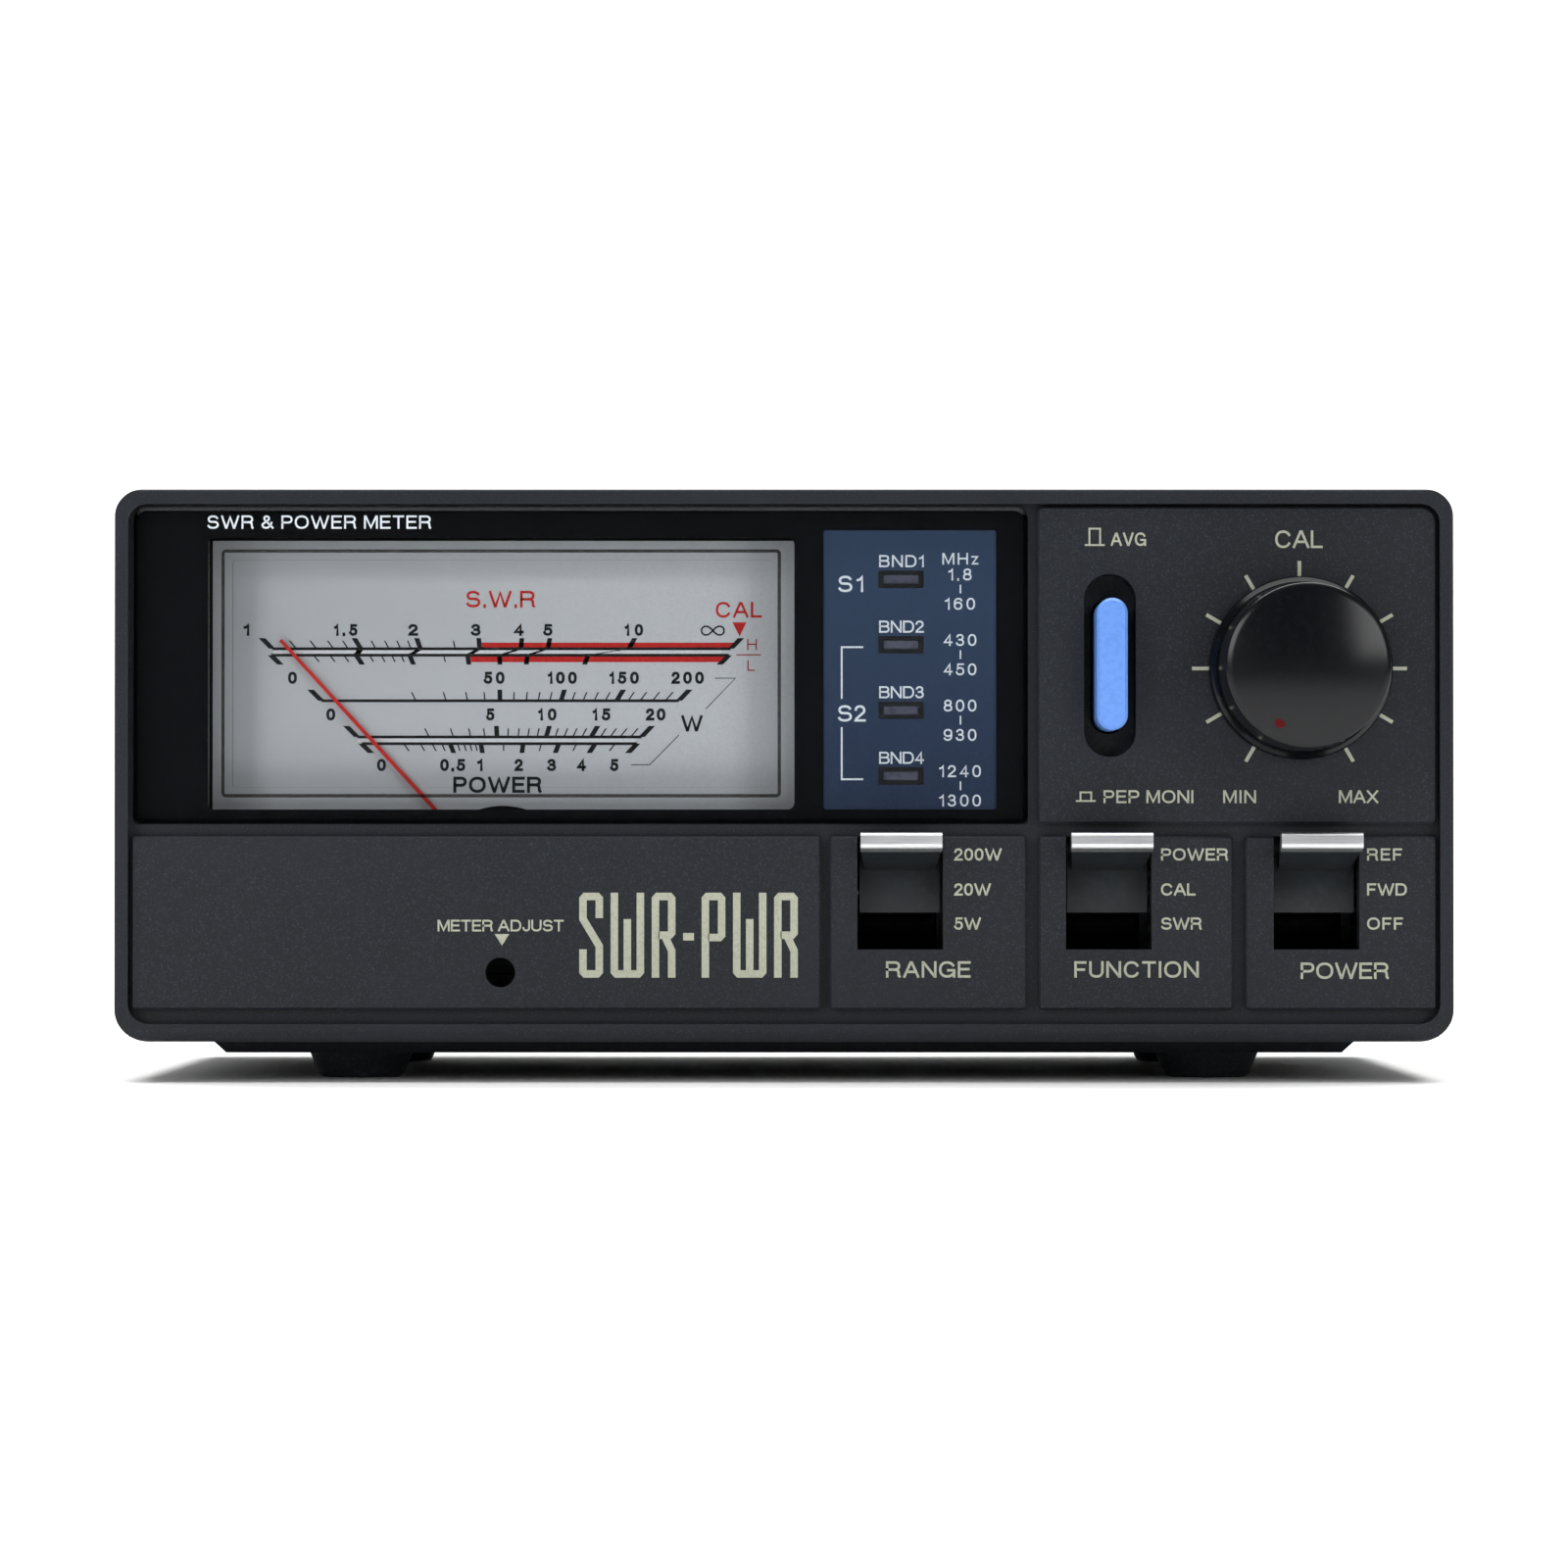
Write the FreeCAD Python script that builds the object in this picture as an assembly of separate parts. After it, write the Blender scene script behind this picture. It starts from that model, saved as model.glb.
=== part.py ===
"""Bench SWR and power meter, built as separate pieces that would come apart on a bench.

Millimetres, +Z up, front face towards -Y, origin on the bench under the middle of the bounding box.
Every piece is drawn with y = 0 at the bezel's front rim, so y reads as depth, and export() moves it.
"""

import FreeCAD
import Part

import math
import os

from FreeCAD import Placement, Rotation, Vector

# Driving dimensions of the case.
WIDTH = 155.0
DEPTH = 103.0  # front rim to the rear panel's outer face
FOOT_HEIGHT = 3.0
BEZEL_BOTTOM = 4.7
BEZEL_TOP = 68.7
KNOB_REACH = 13.4  # in front of the rim
SOCKET_REACH = 16.0  # behind the rear panel
SHEET = 1.0  # case sheet steel
FACE_Y = -(DEPTH + SOCKET_REACH - KNOB_REACH) / 2

# Bezel, as depths behind the rim.
BEZEL_DEPTH = 12.0
TILE = 0.8
GROOVE = 2.2
PLATE_BACK = 4.2
SPIGOT_DEPTH = 16.0
INNER_X = 75.9
INNER_BOTTOM = 6.8
INNER_TOP = 67.0
TILE_X = 75.6
LOW_TILE_BOTTOM = 8.45
LOW_TILE_TOP = 28.5
HIGH_TILE_BOTTOM = 30.0
HIGH_TILE_TOP = 66.7
LOW_TILES = [(-TILE_X, 4.25), (5.3, 28.1), (29.5, 52.0), (53.4, TILE_X)]
HIGH_TILE_LEFT = 29.4

# Window and what shows through it.
LENS_X = (-75.4, 28.2)
LENS_Z = (30.05, 66.75)
LENS_FRONT = 0.9
LENS_BACK = 2.9
MASK_BACK = 3.1
DIAL_OPENING = (-66.95, 1.2, 31.64, 63.2)  # x0, x1, z0, z1
BAND_OPENING = (4.57, 24.66, 31.64, 64.1)
BAND_X = 13.6
BAND_TOP_Z = 58.4
BAND_PITCH = 7.62
BAND_COUNT = 4
COLLAR = (5.3, 2.05)
LED_FACE = (4.05, 1.0)

# Meter movement.
METER_X = (-68.4, 2.8)
METER_Z = (8.6, 64.6)
PIVOT_X = -32.85
PIVOT_Z = 22.9
ADJUST_Z = 12.75
ADJUST_HOLE_R = 1.73
POINTER_LENGTH = 38.8
POINTER_ANGLE = -42.4  # degrees from upright, clockwise seen from the front
COVER_FRONT = 4.4
COVER_STEP = 1.0
RAISED_WINDOW = (-65.5, -0.35, 33.05, 61.95)  # x0, x1, z0, z1
RAISED_CORNER = 0.55
COVER_BEVEL = 0.4
COVER_WALL = 1.2
BASE_FRONT = 11.0
BASE_BACK = 28.5
DIAL_FRONT = 10.2
DIAL_BACK = 10.8
ECCENTRIC = 0.9
HUB_RING_R = 9.2
NEEDLE_HALF = (0.25, 0.2)  # half the needle's width at its hub and at its tip
DIAL_SCREWS = [(-62.0, 21.0), (-4.0, 21.0)]
LAMP_X = [-60.0, -6.0]
LAMP_Z = 45.0

# Controls.
LEVER_X = [13.45, 37.6, 61.65]
LEVER_NAMES = ["range", "function", "power"]
LEVER_Z = 21.95
LEVER_Y = 26.7
LEVER_ANGLE = 10.0  # each of the outer positions, from the middle one
DRUM_R = 21.9
TIP_R = 35.2
SLOT_HALF = 4.96
SLOT_BOTTOM = 15.4
TAIL_R = 6.0
KNOB_X = 59.7
KNOB_Z = 47.95
DOME_R = 9.28
DOME_DROP = 1.05  # how far the knob's face falls back from its middle to its edge
BUTTON_X = 37.75
BUTTON_Z = 48.3
BUTTON_FRONT = -5.0
BOARD_FRONT = 36.0
BOARD_BACK = 37.6
BOARD_POSTS = [(23.5, 12.0), (71.5, 12.0), (27.6, 62.0), (71.5, 62.8)]
CHIPS = [(48.0, 38.0), (26.0, 34.0), (66.0, 35.0)]
CANS = [(12.0, 12.5), (70.0, 26.0), (49.0, 58.0)]
SMALL_PARTS = [(x, z) for x in (22.0, 30.0) for z in (42.0, 46.0, 50.0)]
SMALL_PARTS += [(48.0, z) for z in (46.0, 50.0)]
METER_POSTS = [(-71.4, 60.0), (-71.4, 12.0), (5.6, 10.4)]

# Rear panel.
PANEL_FRONT = DEPTH - 1.2
SOCKET_Z = 36.0
UHF_X = [-53.5, -23.5]
N_X = [23.5, 53.5]
FLANGE = 25.4
FLANGE_T = 1.6
FLANGE_HOLE = 9.13  # hole offset from the socket's axis, both ways
THREAD_R = 7.94  # 5/8 inch thread, major radius
CONTACT_R = 2.0
BOX_DEPTH = 24.8
BOX_HALF = (27.5, 16.0)  # half width and half height of a sensor box
BOX_X = [-38.5, 38.5]
LEAD_DX = (-11.0, 11.0)  # where two screened leads leave each box
LEAD_Z = 29.5
SOCKET_END = DEPTH + SOCKET_REACH

# Fasteners and feet.
SCREW_R = 1.5
FOOT_X = 50.4
PAN_HALF = 66.0  # half the width of the pan's flat bottom
PAN_Y = (17.5, 94.0)
FOOT_Y = [24.0, 86.0]
SIDE_SCREW_Y = [42.0, 88.0]
SIDE_SCREW_Z = 9.6
PANEL_SCREWS = [(-70.5, 9.8), (70.5, 9.8), (-70.5, 63.0), (70.5, 63.0)]
BEZEL_SCREW_X = 71.4
BEZEL_SCREW_Y = 15.3

X_AXIS = Vector(1, 0, 0)
Y_AXIS = Vector(0, 1, 0)
Z_AXIS = Vector(0, 0, 1)
OVER = 1.0  # how far a cutter runs past the face that it cuts


# ---- small shape helpers ----


def box(x0, x1, y0, y1, z0, z1):
    return Part.makeBox(x1 - x0, y1 - y0, z1 - z0, Vector(x0, y0, z0))


def rod_x(x0, x1, y, z, r):
    return Part.makeCylinder(r, x1 - x0, Vector(x0, y, z), X_AXIS)


def rod_y(x, z, r, y0, y1):
    return Part.makeCylinder(r, y1 - y0, Vector(x, y0, z), Y_AXIS)


def rod_z(x, y, r, z0, z1):
    return Part.makeCylinder(r, z1 - z0, Vector(x, y, z0), Z_AXIS)


def tube_y(x, z, outer, inner, y0, y1):
    return rod_y(x, z, outer, y0, y1).cut(rod_y(x, z, inner, y0 - OVER, y1 + OVER))


def slab(x0, x1, y0, y1, z0, z1, low_r, high_r=None):
    """A box whose four edges along Y are rounded, with one radius below and one above."""
    block = box(x0, x1, y0, y1, z0, z1)
    high_r = low_r if high_r is None else high_r
    for z, r in ((z0, low_r), (z1, high_r)):
        edges = [
            e
            for e in block.Edges
            if abs(e.BoundBox.YLength - (y1 - y0)) < 1e-6
            and abs(e.BoundBox.XLength) < 1e-6
            and abs(e.BoundBox.ZLength) < 1e-6
            and abs(e.BoundBox.ZMin - z) < 1e-6
        ]
        block = block.makeFillet(r, edges)
    return block


def chamfer_front(shape, y, size):
    """Bevels every edge that lies wholly in the plane at depth y."""
    edges = [e for e in shape.Edges if abs(e.BoundBox.YMin - y) < 1e-6 and abs(e.BoundBox.YMax - y) < 1e-6]
    return shape.makeChamfer(size, edges)


def turned_y(x, z, profile):
    """A solid turned about a line along Y. The profile lists (radius, depth) points, in order."""
    points = [Vector(x + r, y, z) for r, y in profile]
    face = Part.Face(Part.makePolygon(points + points[:1]))
    return face.revolve(Vector(x, 0, z), Y_AXIS, 360)


def turned_z(x, y, profile):
    """A solid turned about a line along Z. The profile lists (radius, height) points, in order."""
    points = [Vector(x + r, y, z) for r, z in profile]
    face = Part.Face(Part.makePolygon(points + points[:1]))
    return face.revolve(Vector(x, y, 0), Z_AXIS, 360)


def hex_nut_y(x, z, flats, bore, y0, y1):
    corner = flats / math.sqrt(3)
    turn = [math.radians(60 * i) for i in range(7)]
    wire = Part.makePolygon([Vector(x + corner * math.cos(t), y0, z + corner * math.sin(t)) for t in turn])
    return Part.Face(wire).extrude(Vector(0, y1 - y0, 0)).cut(rod_y(x, z, bore, y0 - OVER, y1 + OVER))


def fuse(shapes):
    return shapes[0].multiFuse(shapes[1:]).removeSplitter() if len(shapes) > 1 else shapes[0]


def turn_about(shape, centre, axis, degrees):
    """The shape turned about a line through centre."""
    turned = shape.copy()
    turned.rotate(centre, axis, degrees)
    return turned


def export(name, shapes):
    """Writes one node. A list of shapes stays a group of separate solids."""
    shapes = shapes if isinstance(shapes, list) else [shapes]
    solids = [s for shape in shapes for s in shape.Solids]
    group = Part.makeCompound(solids)
    group.translate(Vector(0, FACE_Y, 0))
    if not group.isValid():
        print("INVALID", name)
    group.exportStep(os.path.join("parts", name + ".step"))
    NODES[name] = group
    print(f"{name}: {len(solids)} solids, {group.Volume:.1f} mm3")


NODES = {}


# ---- case ----


def cross_slot(size, depth, y):
    """Two crossed bars that cut a cross recess into a screw head whose top is at depth y."""
    bar = box(-size, size, y - OVER, y + depth, -0.3, 0.3)
    return bar.fuse(turn_about(bar, Vector(0, 0, 0), Y_AXIS, 90))


def pan_screw(length, shank_r, head_r, head_h):
    """A pan-head screw along +Y: the head is in front of y = 0, and the shank behind it."""
    head = turned_y(
        0,
        0,
        [(0, -head_h), (head_r * 0.55, -head_h), (head_r * 0.9, -head_h * 0.6), (head_r, 0), (0, 0)],
    )
    screw = head.fuse(rod_y(0, 0, shank_r, -0.1, length)).removeSplitter()
    return screw.cut(cross_slot(head_r * 0.55, head_h * 0.5, -head_h))


def placed(shape, x, y, z, direction=Y_AXIS):
    """A copy of a shape drawn along +Y at the origin, moved to a point and turned to a direction."""
    copy = shape.copy()
    copy.Placement = Placement(Vector(x, y, z), Rotation(Y_AXIS, direction))
    return copy


def bezel_body():
    """The frame with its rounded front edges, the face plate and the spigot that enters the cover."""
    half = WIDTH / 2
    edge, lip = 0.45, 1.7
    body = slab(-half, half, 0, BEZEL_DEPTH, BEZEL_BOTTOM, BEZEL_TOP, 4.0, 3.3)
    from_side = box(-half - OVER, half + OVER, 0, BEZEL_DEPTH, BEZEL_BOTTOM, BEZEL_TOP)
    for z, r in ((BEZEL_BOTTOM, lip), (BEZEL_TOP, edge)):
        front = [
            e
            for e in from_side.Edges
            if e.BoundBox.XLength > WIDTH
            and abs(e.BoundBox.YMax) < 1e-6
            and abs(e.BoundBox.ZMin - z) < 1e-6
        ]
        from_side = from_side.makeFillet(r, front)
    from_top = box(-half, half, 0, BEZEL_DEPTH, 0, BEZEL_TOP + OVER)
    upright = [e for e in from_top.Edges if e.BoundBox.ZLength > BEZEL_TOP and abs(e.BoundBox.YMax) < 1e-6]
    body = body.common(from_side).common(from_top.makeFillet(edge, upright))
    pocket = slab(-INNER_X, INNER_X, -OVER, GROOVE, INNER_BOTTOM, INNER_TOP, 2.4, 2.2)
    spigot = slab(-75.85, 75.85, BEZEL_DEPTH, SPIGOT_DEPTH, 6.35, 67.05, 2.0)
    cavity = slab(-74.4, 74.4, PLATE_BACK, SPIGOT_DEPTH + OVER, 7.9, 65.5, 1.2)
    return body.cut(pocket).fuse(spigot).cut(cavity)


def front_bezel():
    pads = [
        chamfer_front(slab(x0, x1, TILE, PLATE_BACK - 0.5, LOW_TILE_BOTTOM, LOW_TILE_TOP, 0.4), TILE, 0.22)
        for x0, x1 in LOW_TILES
    ]
    high = slab(HIGH_TILE_LEFT, TILE_X, TILE, PLATE_BACK - 0.5, HIGH_TILE_BOTTOM, HIGH_TILE_TOP, 0.5)
    right_corner = slab(0, TILE_X, TILE - OVER, PLATE_BACK, HIGH_TILE_BOTTOM - 10, HIGH_TILE_TOP, 0.5, 1.85)
    pads.append(chamfer_front(high.common(right_corner), TILE, 0.22))
    button_well = slab(
        BUTTON_X - 4.2, BUTTON_X + 4.2, PLATE_BACK - 0.5, 7.2, BUTTON_Z - 11.8, BUTTON_Z + 11.8, 4.15
    )
    posts = [rod_y(x, z, 2.4, PLATE_BACK - 0.5, BOARD_FRONT) for x, z in BOARD_POSTS]
    posts += [rod_y(x, z, 2.4, MASK_BACK + 0.2, BASE_BACK) for x, z in METER_POSTS]
    for x in (-BEZEL_SCREW_X, BEZEL_SCREW_X):
        posts.append(box(x - 2.4, x + 2.4, BEZEL_DEPTH, 18.2, 6.35, 12.0))
    body = bezel_body().multiFuse(pads + posts + [button_well])

    cuts = [slab(LENS_X[0] - 0.1, LENS_X[1] + 0.1, 0, MASK_BACK, LENS_Z[0] - 0.1, LENS_Z[1] + 0.1, 0.5, 1.6)]
    for x0, x1, z0, z1 in (DIAL_OPENING, BAND_OPENING):
        cuts.append(box(x0 - 0.4, x1 + 0.3, 0, PLATE_BACK + OVER, z0 - 0.5, z1 + 0.4))
    for x in LEVER_X:
        cuts.append(box(x - SLOT_HALF, x + SLOT_HALF, 0, PLATE_BACK + OVER, SLOT_BOTTOM, LOW_TILE_TOP))
    cuts.append(rod_y(PIVOT_X, ADJUST_Z, ADJUST_HOLE_R, 0, PLATE_BACK + OVER))
    cuts.append(rod_y(KNOB_X, KNOB_Z, 3.6, 0, PLATE_BACK + OVER))
    cuts.append(slab(BUTTON_X - 3.0, BUTTON_X + 3.0, 0, 6.0, BUTTON_Z - 10.6, BUTTON_Z + 10.6, 2.95))
    cuts.append(slab(BUTTON_X - 2.05, BUTTON_X + 2.05, 5.0, 8.0, BUTTON_Z - 7.85, BUTTON_Z + 7.85, 2.0))
    cuts += [rod_y(x, z, 1.0, BOARD_FRONT - 8, BOARD_FRONT + OVER) for x, z in BOARD_POSTS]
    cuts += [rod_y(x, z, 1.0, BASE_BACK - 8, BASE_BACK + OVER) for x, z in METER_POSTS]
    cuts += bottom_screws()
    return body.cut(Part.makeCompound(cuts)).removeSplitter()


def flush_screw():
    """A countersunk screw along +Y. Its head's top is at y = 0."""
    head = Part.makeCone(2.9, SCREW_R, 1.4, Vector(0, 0, 0), Y_AXIS)
    return head.fuse(Part.makeCylinder(SCREW_R, 6.0, Vector(0, 0, 0), Y_AXIS)).removeSplitter()


def side_screws():
    outer = WIDTH / 2 - 0.5
    return [
        placed(flush_screw(), side * outer, y, SIDE_SCREW_Z, Vector(-side, 0, 0))
        for side in (-1, 1)
        for y in SIDE_SCREW_Y
    ]


def bottom_screws():
    """Two of the same screws, which hold the bottom sheet to the bezel from underneath."""
    low = BEZEL_BOTTOM + 0.5
    return [placed(flush_screw(), x, BEZEL_SCREW_Y, low, Z_AXIS) for x in (-BEZEL_SCREW_X, BEZEL_SCREW_X)]


def case_screws():
    """The case screws with their cross recesses."""
    made = []
    for screw in side_screws() + bottom_screws():
        recess = cross_slot(1.5, 0.8, 0)
        recess.Placement = screw.Placement
        made.append(screw.cut(recess))
    return made


def top_cover():
    """Top and both sides from one bent sheet, with a folded flange that carries the rear panel's top."""
    outer, top = WIDTH / 2 - 0.5, BEZEL_TOP - 0.5
    front = BEZEL_DEPTH + 0.1
    shell = slab(-outer, outer, front, DEPTH, BEZEL_BOTTOM + 0.3, top, 0.1, 2.2)
    inside = slab(
        -outer + SHEET, outer - SHEET, front - OVER, DEPTH + OVER, 0, top - SHEET, 0.1, 2.2 - SHEET
    )
    flange = box(-73.5, 73.5, PANEL_FRONT - SHEET, PANEL_FRONT, 59.5, top - SHEET + 0.2)
    cuts = side_screws() + [rod_y(x, z, SCREW_R, 90, DEPTH) for x, z in PANEL_SCREWS]
    return shell.cut(inside).fuse(flange).cut(Part.makeCompound(cuts)).removeSplitter()


def frustum(half_low, half_high, y0, y1, z0, z1):
    """A block with sloping sides: its half width and its ends grow from z0 to z1 alike."""
    wires = []
    for half, z in ((half_low, z0), (half_high, z1)):
        grow = half - half_low
        corners = [(-half, y0 - grow), (half, y0 - grow), (half, y1 + grow), (-half, y1 + grow)]
        wires.append(Part.makePolygon([Vector(x, y, z) for x, y in corners + corners[:1]]))
    return Part.makeLoft(wires, True, True)


def bottom_cover():
    """Bottom sheet with a pressed pan that carries the feet, and flanges on all four sides."""
    low, high = BEZEL_BOTTOM + 0.5, BEZEL_BOTTOM + 0.5 + SHEET
    rise = high - FOOT_HEIGHT
    inner_half = PAN_HALF - 0.4
    sheet = box(-75.9, 75.9, BEZEL_DEPTH + 0.1, DEPTH, low, high)
    outer = frustum(PAN_HALF, PAN_HALF + rise, *PAN_Y, FOOT_HEIGHT, high)
    inner = frustum(inner_half, inner_half + rise - SHEET + OVER, *PAN_Y, FOOT_HEIGHT + SHEET, high + OVER)
    flanges = [box(side - 0.5, side + 0.5, 19, 99, low, 13.2) for side in (-75.4, 75.4)]
    flanges.append(box(-73.5, 73.5, PANEL_FRONT - SHEET, PANEL_FRONT, low, 13.2))
    body = sheet.fuse(outer).cut(inner).multiFuse(flanges)
    cuts = side_screws()
    cuts += [rod_y(x, z, SCREW_R, 90, DEPTH) for x, z in PANEL_SCREWS]
    cuts += bottom_screws()
    cuts += [rod_z(x, y, SCREW_R, 2, 7) for x in (-FOOT_X, FOOT_X) for y in FOOT_Y]
    return body.cut(Part.makeCompound(cuts)).removeSplitter()


def rear_panel():
    plate = slab(-75.8, 75.8, PANEL_FRONT, DEPTH, 6.3, 67.0, 0.6, 1.1)
    cuts = [rod_y(x, z, SCREW_R + 0.1, 100, DEPTH + OVER) for x, z in PANEL_SCREWS]
    for x in UHF_X + N_X:
        cuts.append(rod_y(x, SOCKET_Z, 4.7, 100, DEPTH + OVER))
        cuts += [rod_y(cx, cz, SCREW_R + 0.1, 100, DEPTH + OVER) for cx, cz in flange_holes(x)]
    cuts.append(rod_y(0, SOCKET_Z, 4.05, 100, DEPTH + OVER))
    return plate.cut(Part.makeCompound(cuts))


def rubber_foot(x, y):
    """A tapered foot with a counterbore for its screw. It stands on a flat ring."""
    return turned_z(
        x,
        y,
        [
            (1.6, 1.7),
            (2.7, 1.7),
            (2.7, 0),
            (4.45, 0),
            (4.85, 0.12),
            (5.1, 0.45),
            (6.2, FOOT_HEIGHT),
            (1.6, FOOT_HEIGHT),
        ],
    )


def feet():
    return [rubber_foot(x, y) for x in (-FOOT_X, FOOT_X) for y in FOOT_Y]


def foot_screws():
    screw = pan_screw(4.8, SCREW_R, 2.5, 1.2)
    return [placed(screw, x, y, 1.7, Z_AXIS) for x in (-FOOT_X, FOOT_X) for y in FOOT_Y]


def panel_screws():
    """The four screws at the rear panel's corners, seen from behind."""
    screw = pan_screw(5.0, SCREW_R, 2.8, 1.8)
    return [placed(screw, x, DEPTH, z, Vector(0, -1, 0)) for x, z in PANEL_SCREWS]


# ---- window and band indicators ----


def lens_outline(y0, y1):
    return slab(LENS_X[0], LENS_X[1], y0, y1, LENS_Z[0], LENS_Z[1], 0.7, 1.5)


def window_lens():
    return chamfer_front(lens_outline(LENS_FRONT, LENS_BACK), LENS_FRONT, 0.5)


def window_mask():
    """A black film behind the lens, open at the dial and at the band panel."""
    film = lens_outline(LENS_BACK, MASK_BACK)
    for x0, x1, z0, z1 in (DIAL_OPENING, BAND_OPENING):
        film = film.cut(slab(x0, x1, 2, 4, z0, z1, 0.8 if x0 < 0 else 0.35))
    return film


def band_centres():
    return [BAND_TOP_Z - i * BAND_PITCH for i in range(BAND_COUNT)]


def band_panel():
    x0, x1, z0, z1 = BAND_OPENING
    sheet = box(x0 - 0.3, x1 + 0.2, MASK_BACK + 0.02, MASK_BACK + 0.52, z0 - 0.4, z1 + 0.3)
    for z in band_centres():
        sheet = sheet.cut(window(COLLAR, z, 2, 5))
    return sheet


def window(size, z, y0, y1):
    """A rectangular cutter or block on the band panel's column."""
    return box(BAND_X - size[0] / 2, BAND_X + size[0] / 2, y0, y1, z - size[1] / 2, z + size[1] / 2)


def led_holder():
    """A black moulding: a collar shows round each indicator, and a pocket behind holds the lamp."""
    rear = 9.0
    face = MASK_BACK + 0.55
    middle = BAND_TOP_Z - BAND_PITCH * (BAND_COUNT - 1) / 2
    block = box(BAND_X - 4.0, BAND_X + 4.0, face, rear, middle - 14.4, middle + 14.4)
    collar = (COLLAR[0] - 0.04, COLLAR[1] - 0.04)
    block = block.multiFuse([window(collar, z, MASK_BACK + 0.05, face + 0.5) for z in band_centres()])
    cuts = [window((LED_FACE[0] + 0.05, LED_FACE[1] + 0.05), z, 2, 7) for z in band_centres()]
    cuts += [window((5.1, 2.3), z, 5.2, rear + OVER) for z in band_centres()]
    return block.cut(Part.makeCompound(cuts)).removeSplitter()


def band_leds():
    """Four rectangular lamps with two leads each, which reach back to the control board."""
    lamps = []
    for z in band_centres():
        lamp = window(LED_FACE, z, MASK_BACK + 0.35, 6.0).fuse(window((5.0, 2.2), z, 5.25, 9.5))
        for side in (-1.27, 1.27):
            x = BAND_X + side
            lamp = lamp.fuse(box(x - 0.25, x + 0.25, 9.0, BOARD_BACK + 1.0, z - 0.25, z + 0.25))
        lamps.append(lamp.removeSplitter())
    return lamps


# ---- meter movement ----


def meter_cover():
    """The clear front: a thin box with a raised window, and a hole for the zero adjuster."""
    flange = COVER_FRONT + COVER_STEP
    x0, x1, z0, z1 = RAISED_WINDOW
    wall = COVER_WALL
    shell = slab(METER_X[0], METER_X[1], flange, BASE_FRONT, METER_Z[0], METER_Z[1], 0.8)
    window = slab(x0, x1, COVER_FRONT, flange + 0.5, z0, z1, RAISED_CORNER)
    shell = shell.fuse(chamfer_front(window, COVER_FRONT, COVER_BEVEL))
    left, right = METER_X[0] + wall, METER_X[1] - wall
    low, high = METER_Z[0] + wall, METER_Z[1] - wall
    cuts = [box(left, right, flange + wall, BASE_FRONT + OVER, low, high)]
    inside = (x0 + wall, x1 - wall, COVER_FRONT + wall, flange + wall + 0.1, z0 + wall, z1 - wall)
    cuts.append(slab(*inside, 0.3))
    cuts.append(rod_y(PIVOT_X, ADJUST_Z, 2.05, 2, 9))
    return shell.cut(Part.makeCompound(cuts)).removeSplitter()


def meter_base():
    """The black back housing, with ears for its three screws and two posts for the dial."""
    wall = 1.5
    body = slab(METER_X[0], METER_X[1], BASE_FRONT, BASE_BACK, METER_Z[0], METER_Z[1], 0.8)
    left, right = METER_X[0] + wall, METER_X[1] - wall
    low, high = METER_Z[0] + wall, METER_Z[1] - wall
    body = body.cut(box(left, right, BASE_FRONT - OVER, BASE_BACK - wall, low, high))
    for x, z in DIAL_SCREWS:
        body = body.fuse(rod_y(x, z, 2.0, DIAL_BACK, BASE_BACK - 0.5))
    for x, z in METER_POSTS:
        side = METER_X[0] if x < 0 else METER_X[1]
        ear = box(min(x, side), max(x, side), BASE_BACK, BASE_BACK + 1.6, z - 2.4, z + 2.4)
        ear = ear.fuse(rod_y(x, z, 2.4, BASE_BACK, BASE_BACK + 1.6))
        strap_x = (side, side + 4) if x < 0 else (side - 4, side)
        strap = box(strap_x[0], strap_x[1], BASE_BACK - 1.0, BASE_BACK + 1.6, z - 2.4, z + 2.4)
        body = body.fuse(ear).fuse(strap)
    cuts = [rod_y(x, z, 1.1, 20, 32) for x, z in METER_POSTS]
    cuts += [rod_y(x, z, 0.8, DIAL_BACK - OVER, DIAL_BACK + 6) for x, z in DIAL_SCREWS]
    for x in LAMP_X:
        cuts.append(rod_y(x, LAMP_Z, 2.6, 20, 32))
    return body.cut(Part.makeCompound(cuts)).removeSplitter()


def dial_plate():
    plate = box(METER_X[0] + 1.4, METER_X[1] - 1.4, DIAL_FRONT, DIAL_BACK, 17.0, METER_Z[1] - 1.4)
    cuts = [
        rod_y(PIVOT_X, PIVOT_Z, 6.9, 9, 12),
        box(PIVOT_X - 12.2, PIVOT_X + 12.2, 9, 12, 10, PIVOT_Z),
    ]
    cuts += [rod_y(x, z, 0.9, 9, 12) for x, z in DIAL_SCREWS]
    return plate.cut(Part.makeCompound(cuts))


def yoke_ring():
    return tube_y(PIVOT_X, PIVOT_Z, 12.5, 9.6, 12.0, 22.6)


def core_magnet():
    return rod_y(PIVOT_X, PIVOT_Z, 7.5, 13.05, 21.55)


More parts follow.
